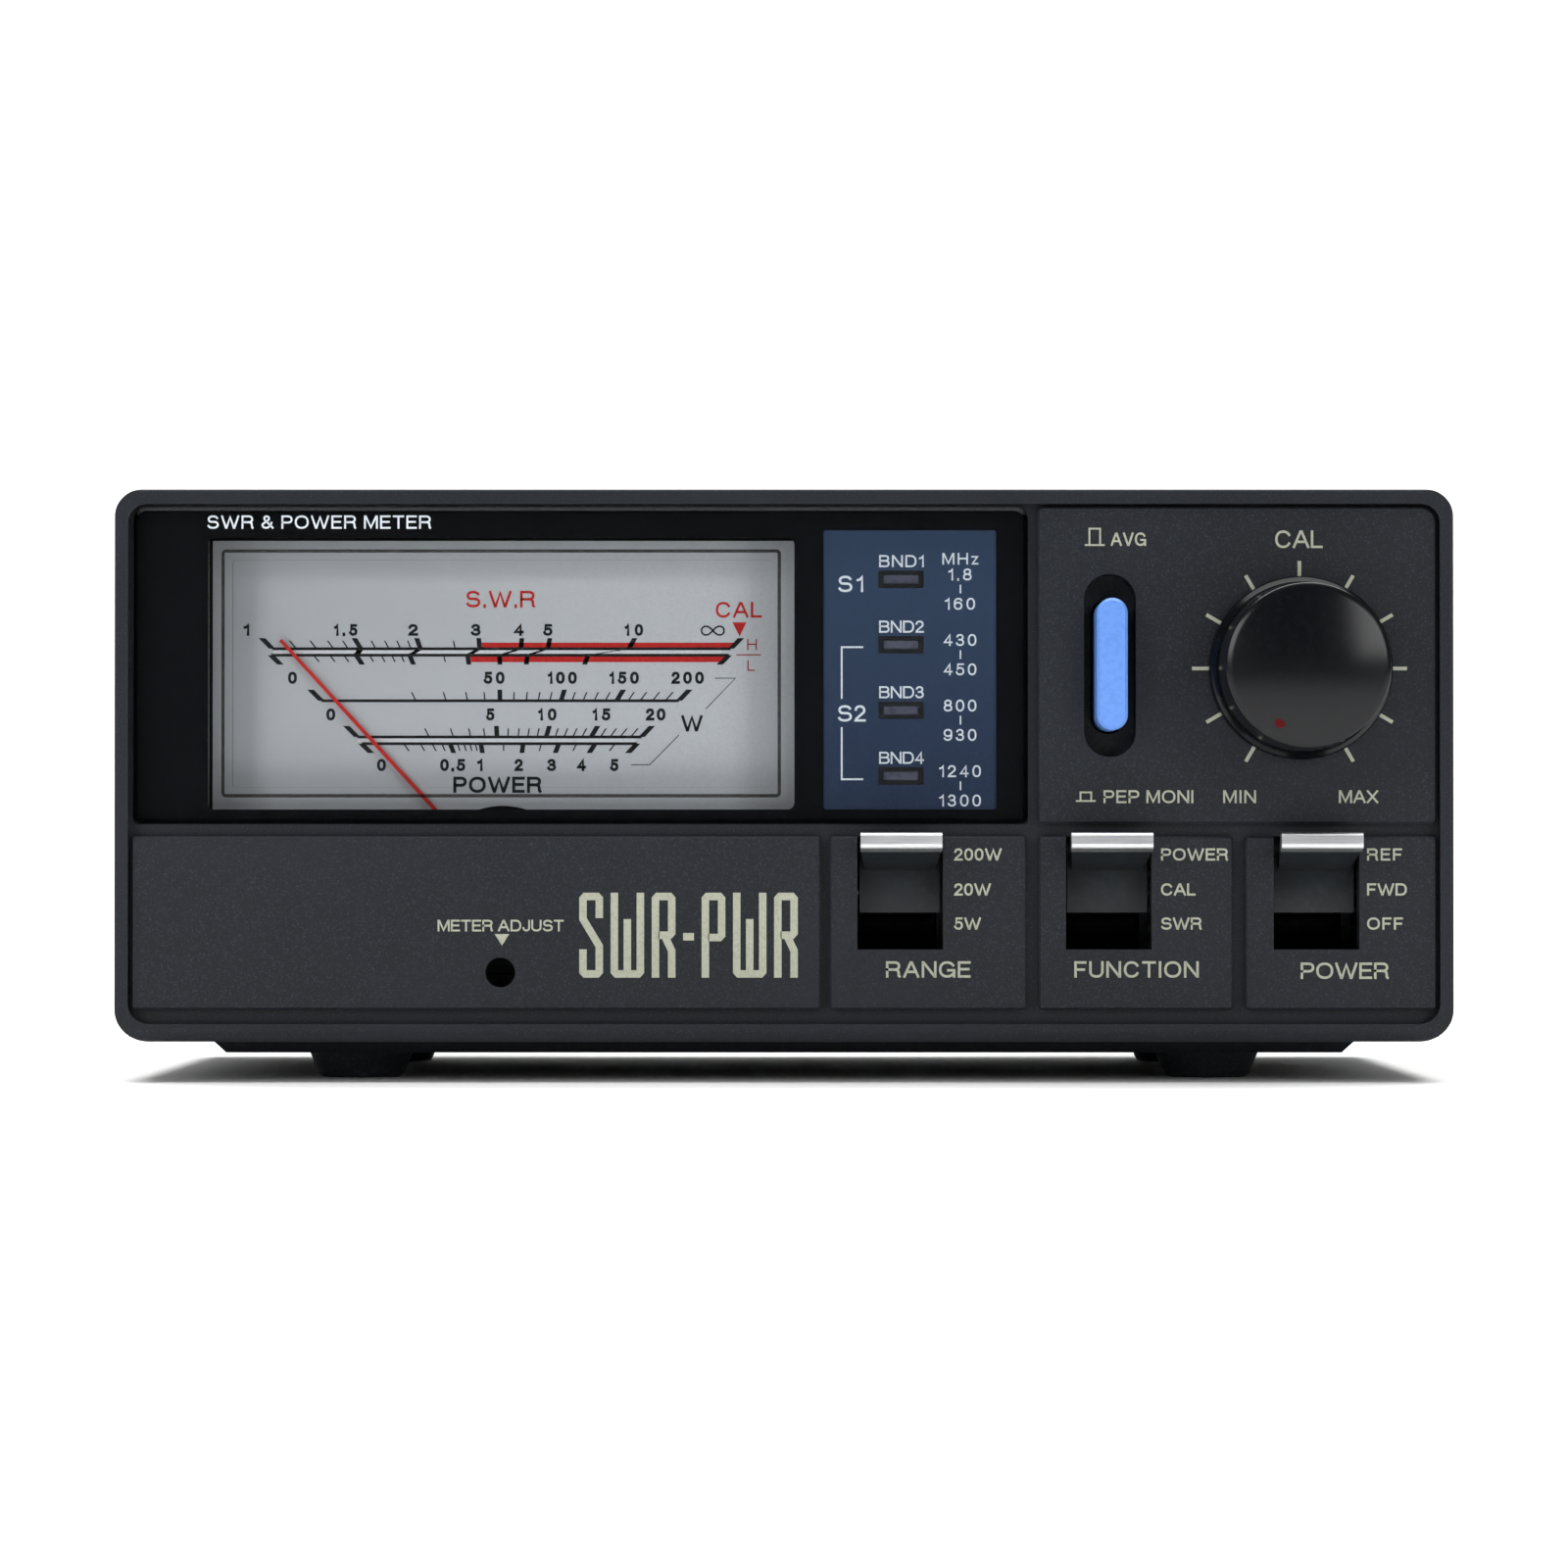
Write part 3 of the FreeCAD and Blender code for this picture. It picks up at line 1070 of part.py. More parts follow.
def lead(points, radius):
    """A wire along straight runs joined by tangent arcs, each as large as its runs allow."""
    points = [Vector(*p) for p in points]
    edges = []
    at = points[0]
    for before, corner, after in zip(points, points[1:], points[2:]):
        back, ahead = (before - corner), (after - corner)
        turn = math.pi - back.getAngle(ahead)
        reach = 0.45 * min(back.Length, ahead.Length)
        start = corner + back.normalize() * reach
        end = corner + ahead.normalize() * reach
        bend_r = reach / math.tan(turn / 2)
        to_centre = (start + end) * 0.5 - corner
        to_centre.normalize()
        middle = corner + to_centre * (bend_r / math.cos(turn / 2) - bend_r)
        edges.append(Part.makeLine(at, start))
        edges.append(Part.Arc(start, middle, end).toShape())
        at = end
    edges.append(Part.makeLine(at, points[-1]))
    profile = Part.Wire(Part.makeCircle(radius, points[0], points[1] - points[0]))
    return Part.Wire(edges).makePipeShell([profile], True, False)


def signal_leads():
    """Four screened leads from the sensor boxes to the control board, clear of each other."""
    front = PANEL_FRONT - BOX_DEPTH - 1.0
    ends = [(7.6, 22.0), (16.0, 30.6), (46.0, 30.6), (64.0, 45.0)]
    made = []
    for i, (end_x, end_z) in enumerate(ends):
        start_x = BOX_X[i // 2] + LEAD_DX[i % 2]
        depth = 66.0 - 4.0 * (1 - i % 2)
        rise = 33.0 + 4.0 * i
        made.append(
            lead(
                [
                    (start_x, front + 2.9, LEAD_Z),
                    (start_x, depth + 2.0, LEAD_Z),
                    ((start_x * 2 + end_x) / 3, depth - 5.0, rise),
                    ((start_x + 3 * end_x) / 4, depth - 10.0, rise - 1.5),
                    (end_x, BOARD_BACK + 9.0, end_z),
                    (end_x, BOARD_BACK, end_z),
                ],
                1.1,
            )
        )
    return made


def power_leads():
    """Two wires from the power jack to the board, and a pair from the board to the meter lamps."""
    made = []
    for i, dx in enumerate((-2.0, 2.0)):
        made.append(
            lead(
                [
                    (dx, 85.5, SOCKET_Z),
                    (dx, 76.0, SOCKET_Z),
                    (dx + 5.0, 66.0, 22.0 - 2 * i),
                    (dx + 18.0, 54.0, 14.0 - 2 * i),
                    (31.0 + 4.0 * i, BOARD_BACK + 8.0, 11.0),
                    (31.0 + 4.0 * i, BOARD_BACK, 11.0),
                ],
                0.7,
            )
        )
    for i, x in enumerate(LAMP_X):
        made.append(
            lead(
                [
                    (x, 29.2, LAMP_Z),
                    (x, 38.0, LAMP_Z),
                    (x + 12.0, 45.0, LAMP_Z + 8.0 - 3 * i),
                    (8.0, 50.0 - 3 * i, 57.0 - 4 * i),
                    (20.0 - 3.0 * i, 46.0, 60.0 - 6 * i),
                    (20.0 - 3.0 * i, BOARD_BACK, 60.0 - 6 * i),
                ],
                0.6,
            )
        )
    return made


def build():
    os.makedirs("parts", exist_ok=True)
    export("front_bezel", front_bezel())
    export("top_cover", top_cover())
    export("bottom_cover", bottom_cover())
    export("rear_panel", rear_panel())
    export("rubber_feet", feet())
    export("foot_screws", foot_screws())
    export("case_screws", case_screws())
    export("panel_screws", panel_screws())
    export("window_lens", window_lens())
    export("window_mask", window_mask())
    export("band_panel", band_panel())
    export("led_holder", led_holder())
    export("band_leds", band_leds())
    export("meter_cover", meter_cover())
    export("meter_base", meter_base())
    export("dial_plate", dial_plate())
    export("yoke_ring", yoke_ring())
    export("core_magnet", core_magnet())
    export("movement_bridge", movement_bridge())
    export("jewel_screws", jewel_screws())
    export("moving_coil", moving_coil())
    export("pointer", pointer())
    export("balance_weight", balance_weight())
    export("hairsprings", hairsprings())
    export("zero_arm", zero_arm())
    export("zero_screw", zero_screw())
    export("meter_lamps", meter_lamps())
    export("cal_knob", cal_knob())
    export("cal_shaft", cal_shaft())
    export("cal_pot_body", cal_pot_body())
    export("panel_nuts", cal_nut() + [dc_nut()])
    export("avg_button", avg_button())
    export("avg_plunger", avg_plunger())
    export("avg_switch_body", avg_switch_body())
    for name, x in zip(LEVER_NAMES, LEVER_X):
        export(name + "_lever", lever(x))
        export(name + "_lever_tip", lever_tip(x))
        export(name + "_contact", lever_contact(x))
    export("lever_switch_frames", [lever_switch_frame(x) for x in LEVER_X])
    export("lever_pivot_pins", pivot_pins())
    export("control_board", control_board())
    export("internal_screws", internal_screws())
    export("uhf_sockets", [uhf_socket(x) for x in UHF_X])
    export("n_sockets", [n_socket(x) for x in N_X])
    export("socket_insulators", socket_insulators())
    export("socket_contacts", socket_contacts())
    export("socket_screws", socket_screws())
    export("sensor_boxes", [sensor_box(BOX_X[0], UHF_X), sensor_box(BOX_X[1], N_X)])
    export("sensor_covers", sensor_covers())
    export("inner_lines", [inner_line(UHF_X, 5.0, (88.5, 91.0)), inner_line(N_X, 4.0, (88.5, 90.5))])
    export("s1_transformer", [s1_toroid()] + s1_winding())
    export("sensor_boards", sensor_boards())
    export("dc_jack", dc_jack())
    export("internal_leads", signal_leads() + power_leads())
    print(len(NODES), "nodes")


build()
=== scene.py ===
"""Bench SWR and power meter: finishes, printing, threads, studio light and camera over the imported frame.

Lengths in the tables below are millimetres: x to the right, y the depth behind the bezel's rim, z up.
"""

import math

import bmesh
import bpy
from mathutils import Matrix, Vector


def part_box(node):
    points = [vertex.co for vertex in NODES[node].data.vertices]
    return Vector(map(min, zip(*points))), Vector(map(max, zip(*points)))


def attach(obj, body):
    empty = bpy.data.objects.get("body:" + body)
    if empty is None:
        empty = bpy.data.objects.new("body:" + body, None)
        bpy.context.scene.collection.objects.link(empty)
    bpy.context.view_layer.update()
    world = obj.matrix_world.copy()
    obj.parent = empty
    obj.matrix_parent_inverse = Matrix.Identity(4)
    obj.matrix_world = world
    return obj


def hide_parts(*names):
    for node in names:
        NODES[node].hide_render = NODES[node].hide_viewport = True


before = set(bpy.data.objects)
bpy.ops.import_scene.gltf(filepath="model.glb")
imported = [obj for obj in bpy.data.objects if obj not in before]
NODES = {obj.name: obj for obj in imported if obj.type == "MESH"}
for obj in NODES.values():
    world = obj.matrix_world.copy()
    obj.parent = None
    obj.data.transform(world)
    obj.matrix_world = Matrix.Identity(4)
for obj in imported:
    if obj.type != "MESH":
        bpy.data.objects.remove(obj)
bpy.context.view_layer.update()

MM = 0.001
RIM_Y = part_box("front_bezel")[0].y
CASE = "case"

# Depths of the faces that carry print.
TILE_Y = 0.8
BACK_OF_LENS_Y = 2.9
BAND_Y = 3.12
DIAL_Y = 10.2
REAR_Y = 103.0
INK = 0.02  # thickness of a printed layer

# Places that the print and the threads share with the solids.
PIVOT = (-32.85, 22.9)
KNOB = (59.7, 47.95)
SOCKET_Z = 36.0
UHF_X = (-53.5, -23.5)
N_X = (23.5, 53.5)


def at(x, y, z):
    """A place given in millimetres, in the row frame in metres."""
    return Vector((x * MM, y * MM + RIM_Y, z * MM))


# ---- materials ----


def linear(code):
    """An sRGB hex colour as a linear colour with alpha."""
    channels = [int(code[i : i + 2], 16) / 255 for i in (1, 3, 5)]
    return tuple(c / 12.92 if c <= 0.04045 else ((c + 0.055) / 1.055) ** 2.4 for c in channels) + (1.0,)


# A Mix node's colour sockets, which share their names with its number sockets.
MIX_COLOURS = (6, 7)
MIX_RESULT = 2


def add(tree, kind, values=None, links=None, **settings):
    """Adds a node, with its settings, its sockets' values and the links into it."""
    node = tree.nodes.new(kind)
    for name, value in settings.items():
        setattr(node, name, value)
    for socket, value in (values or {}).items():
        node.inputs[socket].default_value = value
    for socket, source in (links or {}).items():
        tree.links.new(source, node.inputs[socket])
    return node


def new_material(name):
    """An empty material with its output node and Object coordinates."""
    made = bpy.data.materials.new(name)
    made.use_nodes = True
    tree = made.node_tree
    tree.nodes.clear()
    out = add(tree, "ShaderNodeOutputMaterial")
    place = add(tree, "ShaderNodeTexCoord").outputs["Object"]
    return made, tree, out, place


def noise(tree, place, size_mm, detail=2.0, stretch=(1, 1, 1)):
    """Noise whose lumps are about size_mm across, longer along an axis with a small stretch."""
    spread = add(tree, "ShaderNodeMapping", {"Scale": stretch}, {"Vector": place})
    return add(
        tree,
        "ShaderNodeTexNoise",
        {"Scale": 1.0 / (size_mm * MM), "Detail": detail, "Roughness": 0.6},
        {"Vector": spread.outputs["Vector"]},
    ).outputs["Fac"]


def remap(tree, value, low, high, to_low=0.0, to_high=1.0):
    """A value's span from low to high, eased into another span and held at its ends."""
    return add(
        tree,
        "ShaderNodeMapRange",
        {"From Min": low, "From Max": high, "To Min": to_low, "To Max": to_high},
        {"Value": value},
        interpolation_type="SMOOTHSTEP",
    ).outputs["Result"]


def blend_colours(tree, factor, first, second):
    """A colour between two, each a hex code or another node's output."""
    mix = add(tree, "ShaderNodeMix", None, {"Factor": factor}, data_type="RGBA")
    for socket, colour in zip(MIX_COLOURS, (first, second)):
        if isinstance(colour, str):
            mix.inputs[socket].default_value = linear(colour)
        else:
            tree.links.new(colour, mix.inputs[socket])
    return mix.outputs[MIX_RESULT]


def surface(
    name,
    colour,
    fleck,
    fleck_mm,
    rough,
    fleck_share=(0.5, 0.7),
    smudge=None,
    bump_mm=0.0,
    bump_size=None,
    metallic=0.0,
    specular=0.5,
    coat=0.0,
    stretch=(1, 1, 1),
):
    """A plain surface with a fine fleck, slow changes of tone, uneven gloss and a shallow texture."""
    made, tree, out, place = new_material(name)
    fine = noise(tree, place, fleck_mm, 2.0, stretch)
    slow = noise(tree, place, 18.0, 3.0)
    tone = blend_colours(tree, remap(tree, fine, *fleck_share), colour, fleck)
    if smudge:
        tone = blend_colours(tree, remap(tree, slow, 0.45, 0.75, 0.0, 0.5), tone, smudge)
    shader = add(
        tree,
        "ShaderNodeBsdfPrincipled",
        {"Metallic": metallic, "Specular IOR Level": specular, "Coat Weight": coat, "Coat Roughness": 0.12},
        {"Base Color": tone, "Roughness": remap(tree, slow, 0.3, 0.7, *rough)},
    )
    if bump_mm:
        texture = noise(tree, place, bump_size or fleck_mm, 3.0, stretch)
        bump = add(
            tree, "ShaderNodeBump", {"Strength": 0.6, "Distance": bump_mm * MM}, {"Height": texture}
        )
        tree.links.new(bump.outputs["Normal"], shader.inputs["Normal"])
    tree.links.new(shader.outputs["BSDF"], out.inputs["Surface"])
    return made


def clear_plastic(name, tint, edge, rough, steep_from=0.0, steep_to=0.5, frost=0.0):
    """Clear sheet: it mirrors a little, more at a slant.

    A bevel or wall gets the darker edge tint: painted shade for the light that it bends away. Frost is left
    on edges that face up.
    """
    made, tree, out, place = new_material(name)
    shape = add(tree, "ShaderNodeNewGeometry").outputs
    entering = add(tree, "ShaderNodeMath", {0: 1.0}, {1: shape["Backfacing"]}, operation="SUBTRACT")
    mirror = add(tree, "ShaderNodeFresnel", {"IOR": 1.3}).outputs["Fac"]
    ahead = {0: mirror, 1: entering.outputs["Value"]}
    mirror = add(tree, "ShaderNodeMath", None, ahead, operation="MULTIPLY").outputs["Value"]
    facing = add(tree, "ShaderNodeSeparateXYZ", None, {"Vector": shape["Normal"]}).outputs
    flat = add(tree, "ShaderNodeMath", None, {0: facing["Y"]}, operation="ABSOLUTE").outputs["Value"]
    dust = noise(tree, place, 9.0, 3.0)
    # Painted shade: walls and bevels see through the darker edge tint.
    see = add(
        tree,
        "ShaderNodeBsdfTransparent",
        None,
        {"Color": blend_colours(tree, remap(tree, flat, steep_from, steep_to), edge, tint)},
    )
    shine = add(
        tree, "ShaderNodeBsdfGlossy", None, {"Roughness": remap(tree, dust, 0.3, 0.7, rough, rough * 1.6)}
    )
    parts = {0: mirror, 1: see.outputs["BSDF"], 2: shine.outputs["BSDF"]}
    mix = add(tree, "ShaderNodeMixShader", None, parts)
    sawn = add(tree, "ShaderNodeBsdfDiffuse", {"Color": linear("#e4e8ec")})
    share = remap(tree, facing["Z"], 0.2, 0.7, 0.0, frost)
    parts = {0: share, 1: mix.outputs["Shader"], 2: sawn.outputs["BSDF"]}
    whole = add(tree, "ShaderNodeMixShader", None, parts)
    tree.links.new(whole.outputs["Shader"], out.inputs["Surface"])
    return made


def brushed(name, colour, dark, line_mm, rough, axis=0):
    """Metal with fine lines along one axis, which spread its highlights across them."""
    made, tree, out, place = new_material(name)
    stretch = [1.0, 1.0, 1.0]
    stretch[axis] = 0.02
    lines = noise(tree, place, line_mm, 2.0, stretch)
    slow = noise(tree, place, 12.0, 2.0)
    tone = blend_colours(tree, remap(tree, lines, 0.35, 0.7), colour, dark)
    bump = add(tree, "ShaderNodeBump", {"Strength": 0.35, "Distance": 0.01 * MM}, {"Height": lines})
    shader = add(
        tree,
        "ShaderNodeBsdfPrincipled",
        {"Metallic": 1.0},
        {
            "Base Color": tone,
            "Roughness": remap(tree, slow, 0.3, 0.7, *rough),
            "Normal": bump.outputs["Normal"],
        },
    )
    tree.links.new(shader.outputs["BSDF"], out.inputs["Surface"])
    return made


# Moulded ABS under charcoal satin paint: a fine mineral fleck, soft wide highlights.
charcoal_paint = surface(
    "charcoal_satin_paint",
    "#1b1e23",
    "#2d3238",
    0.22,
    (0.42, 0.5),
    (0.5, 0.75),
    "#20232a",
    0.010,
    0.22,
    specular=0.2,
)
# Sheet steel under black baked enamel: a leathery texture that breaks up the gloss.
baked_enamel = surface(
    "black_baked_enamel",
    "#191b1e", "#2a2d31", 0.45, (0.42, 0.52), (0.5, 0.7), "#1f2225", 0.03, 0.55, specular=0.4,
)
# Steel pan, the same enamel, thinner and smoother.
pan_enamel = surface(
    "black_pan_enamel",
    "#1f2226", "#2c2f33", 0.35, (0.45, 0.55), (0.5, 0.7), "#1b1d20", 0.015, 0.4, specular=0.4,
)
# Aluminium plate with a satin black stove finish.
panel_paint = surface(
    "satin_black_panel_paint",
    "#1b1d20", "#2b2e31", 0.25, (0.38, 0.46), (0.5, 0.7), "#212427", 0.008, 0.25, specular=0.4,
)
# Moulded rubber: nearly black, with a dry bloom on it.
foot_rubber = surface(
    "moulded_foot_rubber",
    "#23272b", "#34373a", 0.5, (0.7, 0.85), (0.45, 0.75), "#2c2f32", 0.03, 0.4, specular=0.3,
)
# Zinc-plated steel: pale, a little blue, cloudy.
zinc_steel = surface(
    "zinc_plated_steel",
    "#b9bcbf", "#8f9397", 0.5, (0.25, 0.38), (0.4, 0.7), "#a3a6a0", 0.004, 0.3, metallic=1.0,
)
# Steel with black oxide: dark, oily gloss.
black_oxide = surface(
    "black_oxide_steel",
    "#26282b", "#3d4044", 0.4, (0.28, 0.4), (0.45, 0.7), "#303236", 0.004, 0.3, metallic=0.6,
)
# Cast acrylic sheet: polished faces with one clean reflection, sawn edges that catch the light, and grey
# painted shade on its bevels and walls.
acrylic = clear_plastic("cast_acrylic_sheet", "#fafbfc", "#b4b8bc", 0.03, 0.8, 0.95, 0.1)
# Clear polystyrene moulding: its steep sides get grey painted shade.
polystyrene = clear_plastic("clear_polystyrene", "#fafafa", "#7c7976", 0.05, 0.8, 0.95)
# Black screen print on film: dense and nearly matte.
mask_print = surface("black_screen_print", "#05070a", "#07090d", 1.2, (0.5, 0.6), specular=0.05)
# Moulded black nylon: a soft sheen.
black_nylon = surface(
    "black_moulded_nylon", "#0d0f11", "#17191c", 0.3, (0.4, 0.5), (0.5, 0.75), None, 0.006, 0.25, specular=0.2
)
# The adjuster's nylon, without gloss and darker than the other black nylon: painted shade that keeps it dark
# down its hole.
nylon_painted_hole_shade = surface(
    "matte_black_nylon_painted_shade", "#060708", "#0b0c0e", 0.3, (0.7, 0.8), (0.5, 0.75), None, 0.006, 0.25, specular=0.08
)
# Tinted epoxy lamp body, unlit.
led_epoxy = surface("grey_epoxy_lamp", "#4a4c5a", "#3b3d49", 0.8, (0.3, 0.4), specular=0.3, coat=0.2)
# Soft iron, nickel flashed.
soft_iron = surface(
    "nickelled_soft_iron",
    "#77797b", "#5c5e60", 0.4, (0.35, 0.5), (0.4, 0.7), "#6a6862", 0.01, 0.3, metallic=1.0,
)
# Ground magnet steel: dark with grinding marks.
ground_magnet = brushed("ground_magnet_steel", "#5b5d60", "#3a3c3e", 0.12, (0.3, 0.45), 1)
# Machined brass: yellow, fine turning lines.
turned_brass = brushed("turned_brass", "#c7a55c", "#a5823f", 0.12, (0.22, 0.36), 1)
# The movement's bridges: the same brass, blackened so that they don't glare on the dial.
black_brass = brushed("blackened_brass", "#1c1b1a", "#100f0e", 0.12, (0.4, 0.5), 1)
# Enamelled copper wire wound side by side.
copper_winding = brushed("enamelled_copper_wire", "#a4592c", "#6f3618", 0.16, (0.25, 0.35), 0)
# Needle: aluminium tube with matte red lacquer.
needle_lacquer = surface(
    "red_needle_lacquer", "#c8231c", "#b41a14", 0.6, (0.4, 0.5), smudge="#cc1e16", specular=0.3
)
# Phosphor bronze strip.
spring_bronze = brushed("phosphor_bronze_strip", "#b9824e", "#95623a", 0.08, (0.25, 0.35), 1)
# Knob: smooth black ABS, polished mould, so its highlights are broad but clean.
knob_abs = surface(
    "polished_black_abs", "#08090c", "#0d0f13", 0.8, (0.18, 0.22), (0.45, 0.75), None, 0.0, 0.5, specular=0.28
)
# Turned aluminium shaft.
turned_alloy = brushed("turned_aluminium", "#c2c4c6", "#9fa1a4", 0.15, (0.25, 0.4), 0)
# Button: light blue ABS, satin mould.
blue_abs = surface(
    "light_blue_abs", "#628fda", "#5a87d2", 0.6, (0.34, 0.42), (0.4, 0.7), "#6994dc", 0.003, 0.4, specular=0.3
)
# Lever: dark grey acetal, slippery with a silky gloss and rub marks.
acetal = surface(
    "dark_grey_acetal",
    "#1c2024", "#23272b", 0.9, (0.3, 0.42), (0.45, 0.75), "#24282c", 0.003, 0.6, specular=0.25,
)
# Bright chrome over ABS, finely brushed along its length.
bright_chrome = brushed("satin_chrome", "#dcdee0", "#cacccf", 0.10, (0.36, 0.44), 0)
# Bronze frames, dark all over: painted shade that keeps the deep slots behind the levers black.
frame_painted_slot_shade = surface(
    "bronze_frame_painted_slot_shade",
    "#2a2d33", "#35383e", 0.4, (0.5, 0.65), (0.4, 0.7), "#2e3136", 0.004, 0.3, metallic=0.3,
)
# Silvered spring bronze in the switches.
silvered = brushed("silvered_contact_bronze", "#b8babb", "#8d8f90", 0.1, (0.3, 0.45), 2)
# Nickel-plated brass sockets: warm grey, polished by turning.
nickel = brushed("nickel_plated_brass", "#c9c6bd", "#a19e96", 0.14, (0.16, 0.3), 0)
# White fluoropolymer: waxy.
ptfe = surface("white_ptfe", "#e4e2da", "#d5d2c8", 1.0, (0.38, 0.5), smudge="#dcd9cf", specular=0.4)
# Gold flash over brass.
gold_flash = brushed("gold_flashed_brass", "#d9ad55", "#b98c3c", 0.1, (0.2, 0.3), 1)
# Die-cast alloy: grey, faintly mottled.
die_cast = surface(
    "die_cast_alloy", "#a9abad", "#8b8d8f", 1.2, (0.45, 0.6), (0.4, 0.7), "#97999a", 0.03, 0.8, metallic=0.9
)
# Tinplate: bright, with rolling lines.
tinplate = brushed("rolled_tinplate", "#c4c6c5", "#a5a7a6", 0.2, (0.28, 0.42), 0)
# Silver-flashed copper bar.
copper_bar = brushed("silver_flashed_copper", "#c98f5c", "#b5b0a4", 0.3, (0.25, 0.4), 0)
# Sintered ferrite: dark, dry.
ferrite = surface(
    "sintered_ferrite", "#242528", "#37383b", 0.4, (0.55, 0.7), (0.4, 0.7), "#2c2d30", 0.02, 0.4, specular=0.4
)
# PVC insulation: grey, soft gloss.
grey_pvc = surface(
    "grey_pvc_insulation", "#4b4d50", "#56585b", 0.8, (0.4, 0.5), smudge="#424447", specular=0.4
)
# Phenolic paper board.
paper_board = surface(
    "phenolic_paper_board", "#a47b3c", "#8f6830", 0.5, (0.35, 0.5), (0.4, 0.7), "#94702f", 0.006, 0.4
)
# Bead-lacquered lamp glass, clear, with pale painted shade on its walls.
lamp_glass = clear_plastic("lamp_glass", "#fbf6ea", "#cfcabb", 0.04)


def solder_mask():
    """Green mask over copper: tracks a millimetre apart show as paler lines in steps."""
    made, tree, out, place = new_material("green_solder_mask")
    cells = add(
        tree,
        "ShaderNodeTexBrick",
        {"Scale": 160.0, "Mortar Size": 0.06, "Brick Width": 0.9, "Row Height": 0.35},
        {
            "Vector": add(
                tree, "ShaderNodeMapping", {"Rotation": (math.pi / 2, 0, 0)}, {"Vector": place}
            ).outputs["Vector"]
        },
    ).outputs["Fac"]
    tone = blend_colours(tree, cells, "#1f4a2b", "#3d7a48")
    slow = noise(tree, place, 10.0)
    shader = add(
        tree,
        "ShaderNodeBsdfPrincipled",
        {"Coat Weight": 0.3},
        {"Base Color": tone, "Roughness": remap(tree, slow, 0.3, 0.7, 0.25, 0.35)},
    )
    tree.links.new(shader.outputs["BSDF"], out.inputs["Surface"])
    return made


def silver_lacquer():
    """Dial plate: fine silver lacquer with a sandy grain, and painted shade that darkens it towards its left.
    """
    made, tree, out, place = new_material("fine_silver_lacquer")
    grain = noise(tree, place, 0.22, 1.0)
    across = add(tree, "ShaderNodeSeparateXYZ", None, {"Vector": place})
    # Painted shade: towards its left the plate takes the darker tone.
    side = remap(tree, across.outputs["X"], -0.068, 0.0, 1.0, 0.0)
    tone = blend_colours(tree, side, "#ccced0", "#bcbec0")
    tone = blend_colours(tree, remap(tree, grain, 0.4, 0.7, 0.0, 0.5), tone, "#bdbfc1")
    bump = add(tree, "ShaderNodeBump", {"Strength": 0.3, "Distance": 0.004 * MM}, {"Height": grain})
    shader = add(
        tree,
        "ShaderNodeBsdfPrincipled",
        {"Metallic": 0.1, "Specular IOR Level": 0.3},
        {
            "Base Color": tone,
            "Roughness": remap(tree, grain, 0.3, 0.7, 0.42, 0.55),
            "Normal": bump.outputs["Normal"],
        },
    )
    tree.links.new(shader.outputs["BSDF"], out.inputs["Surface"])
    return made


def blue_film():
    """Band panel: blue ink on film with a fine screen grain, and painted light that brightens it towards its
    top.
    """
    made, tree, out, place = new_material("blue_screen_print")
    height = add(tree, "ShaderNodeSeparateXYZ", None, {"Vector": place}).outputs["Z"]
    grain = noise(tree, place, 0.25, 1.0)
    # Painted light: the film's upper part takes the brighter blue.
    tone = blend_colours(tree, remap(tree, height, 0.030, 0.062), "#202c41", "#2b3a50")
    tone = blend_colours(tree, remap(tree, grain, 0.4, 0.7, 0.0, 0.35), tone, "#28374c")
    shader = add(
        tree,
        "ShaderNodeBsdfPrincipled",
        {"Specular IOR Level": 0.15},
        {"Base Color": tone, "Roughness": remap(tree, grain, 0.3, 0.7, 0.4, 0.5)},
    )
    tree.links.new(shader.outputs["BSDF"], out.inputs["Surface"])
    return made


board_mask = solder_mask()
dial_silver = silver_lacquer()
band_blue = blue_film()

# Inks: pad and screen print, with a dry, faintly mottled surface.
beige_ink = surface("beige_pad_print", "#a7a998", "#9b9d8c", 0.35, (0.5, 0.65), (0.4, 0.7), specular=0.25)
white_ink = surface(
    "cool_white_screen_print", "#eef4fa", "#dfe6ed", 0.35, (0.5, 0.6), (0.4, 0.7), specular=0.25
)
band_ink = surface(
    "pale_grey_screen_print", "#cdd3d8", "#bfc6cb", 0.35, (0.5, 0.6), (0.4, 0.7), specular=0.25
)
black_ink = surface("black_dial_ink", "#0f1012", "#16181a", 0.35, (0.5, 0.65), (0.4, 0.7), specular=0.25)
red_ink = surface("red_dial_ink", "#c5211c", "#b01a16", 0.35, (0.5, 0.6), (0.4, 0.7), specular=0.25)
dark_red_ink = surface("dark_red_dial_ink", "#a4302e", "#942826", 0.35, (0.5, 0.6), (0.4, 0.7), specular=0.25)
pale_ink = surface("pale_dial_ink", "#dcddde", "#d3d4d5", 0.35, (0.5, 0.6), (0.4, 0.7), specular=0.25)
dot_paint = surface("dark_red_dot_paint", "#520a0d", "#44080a", 0.3, (0.5, 0.6), (0.4, 0.7), specular=0.1)

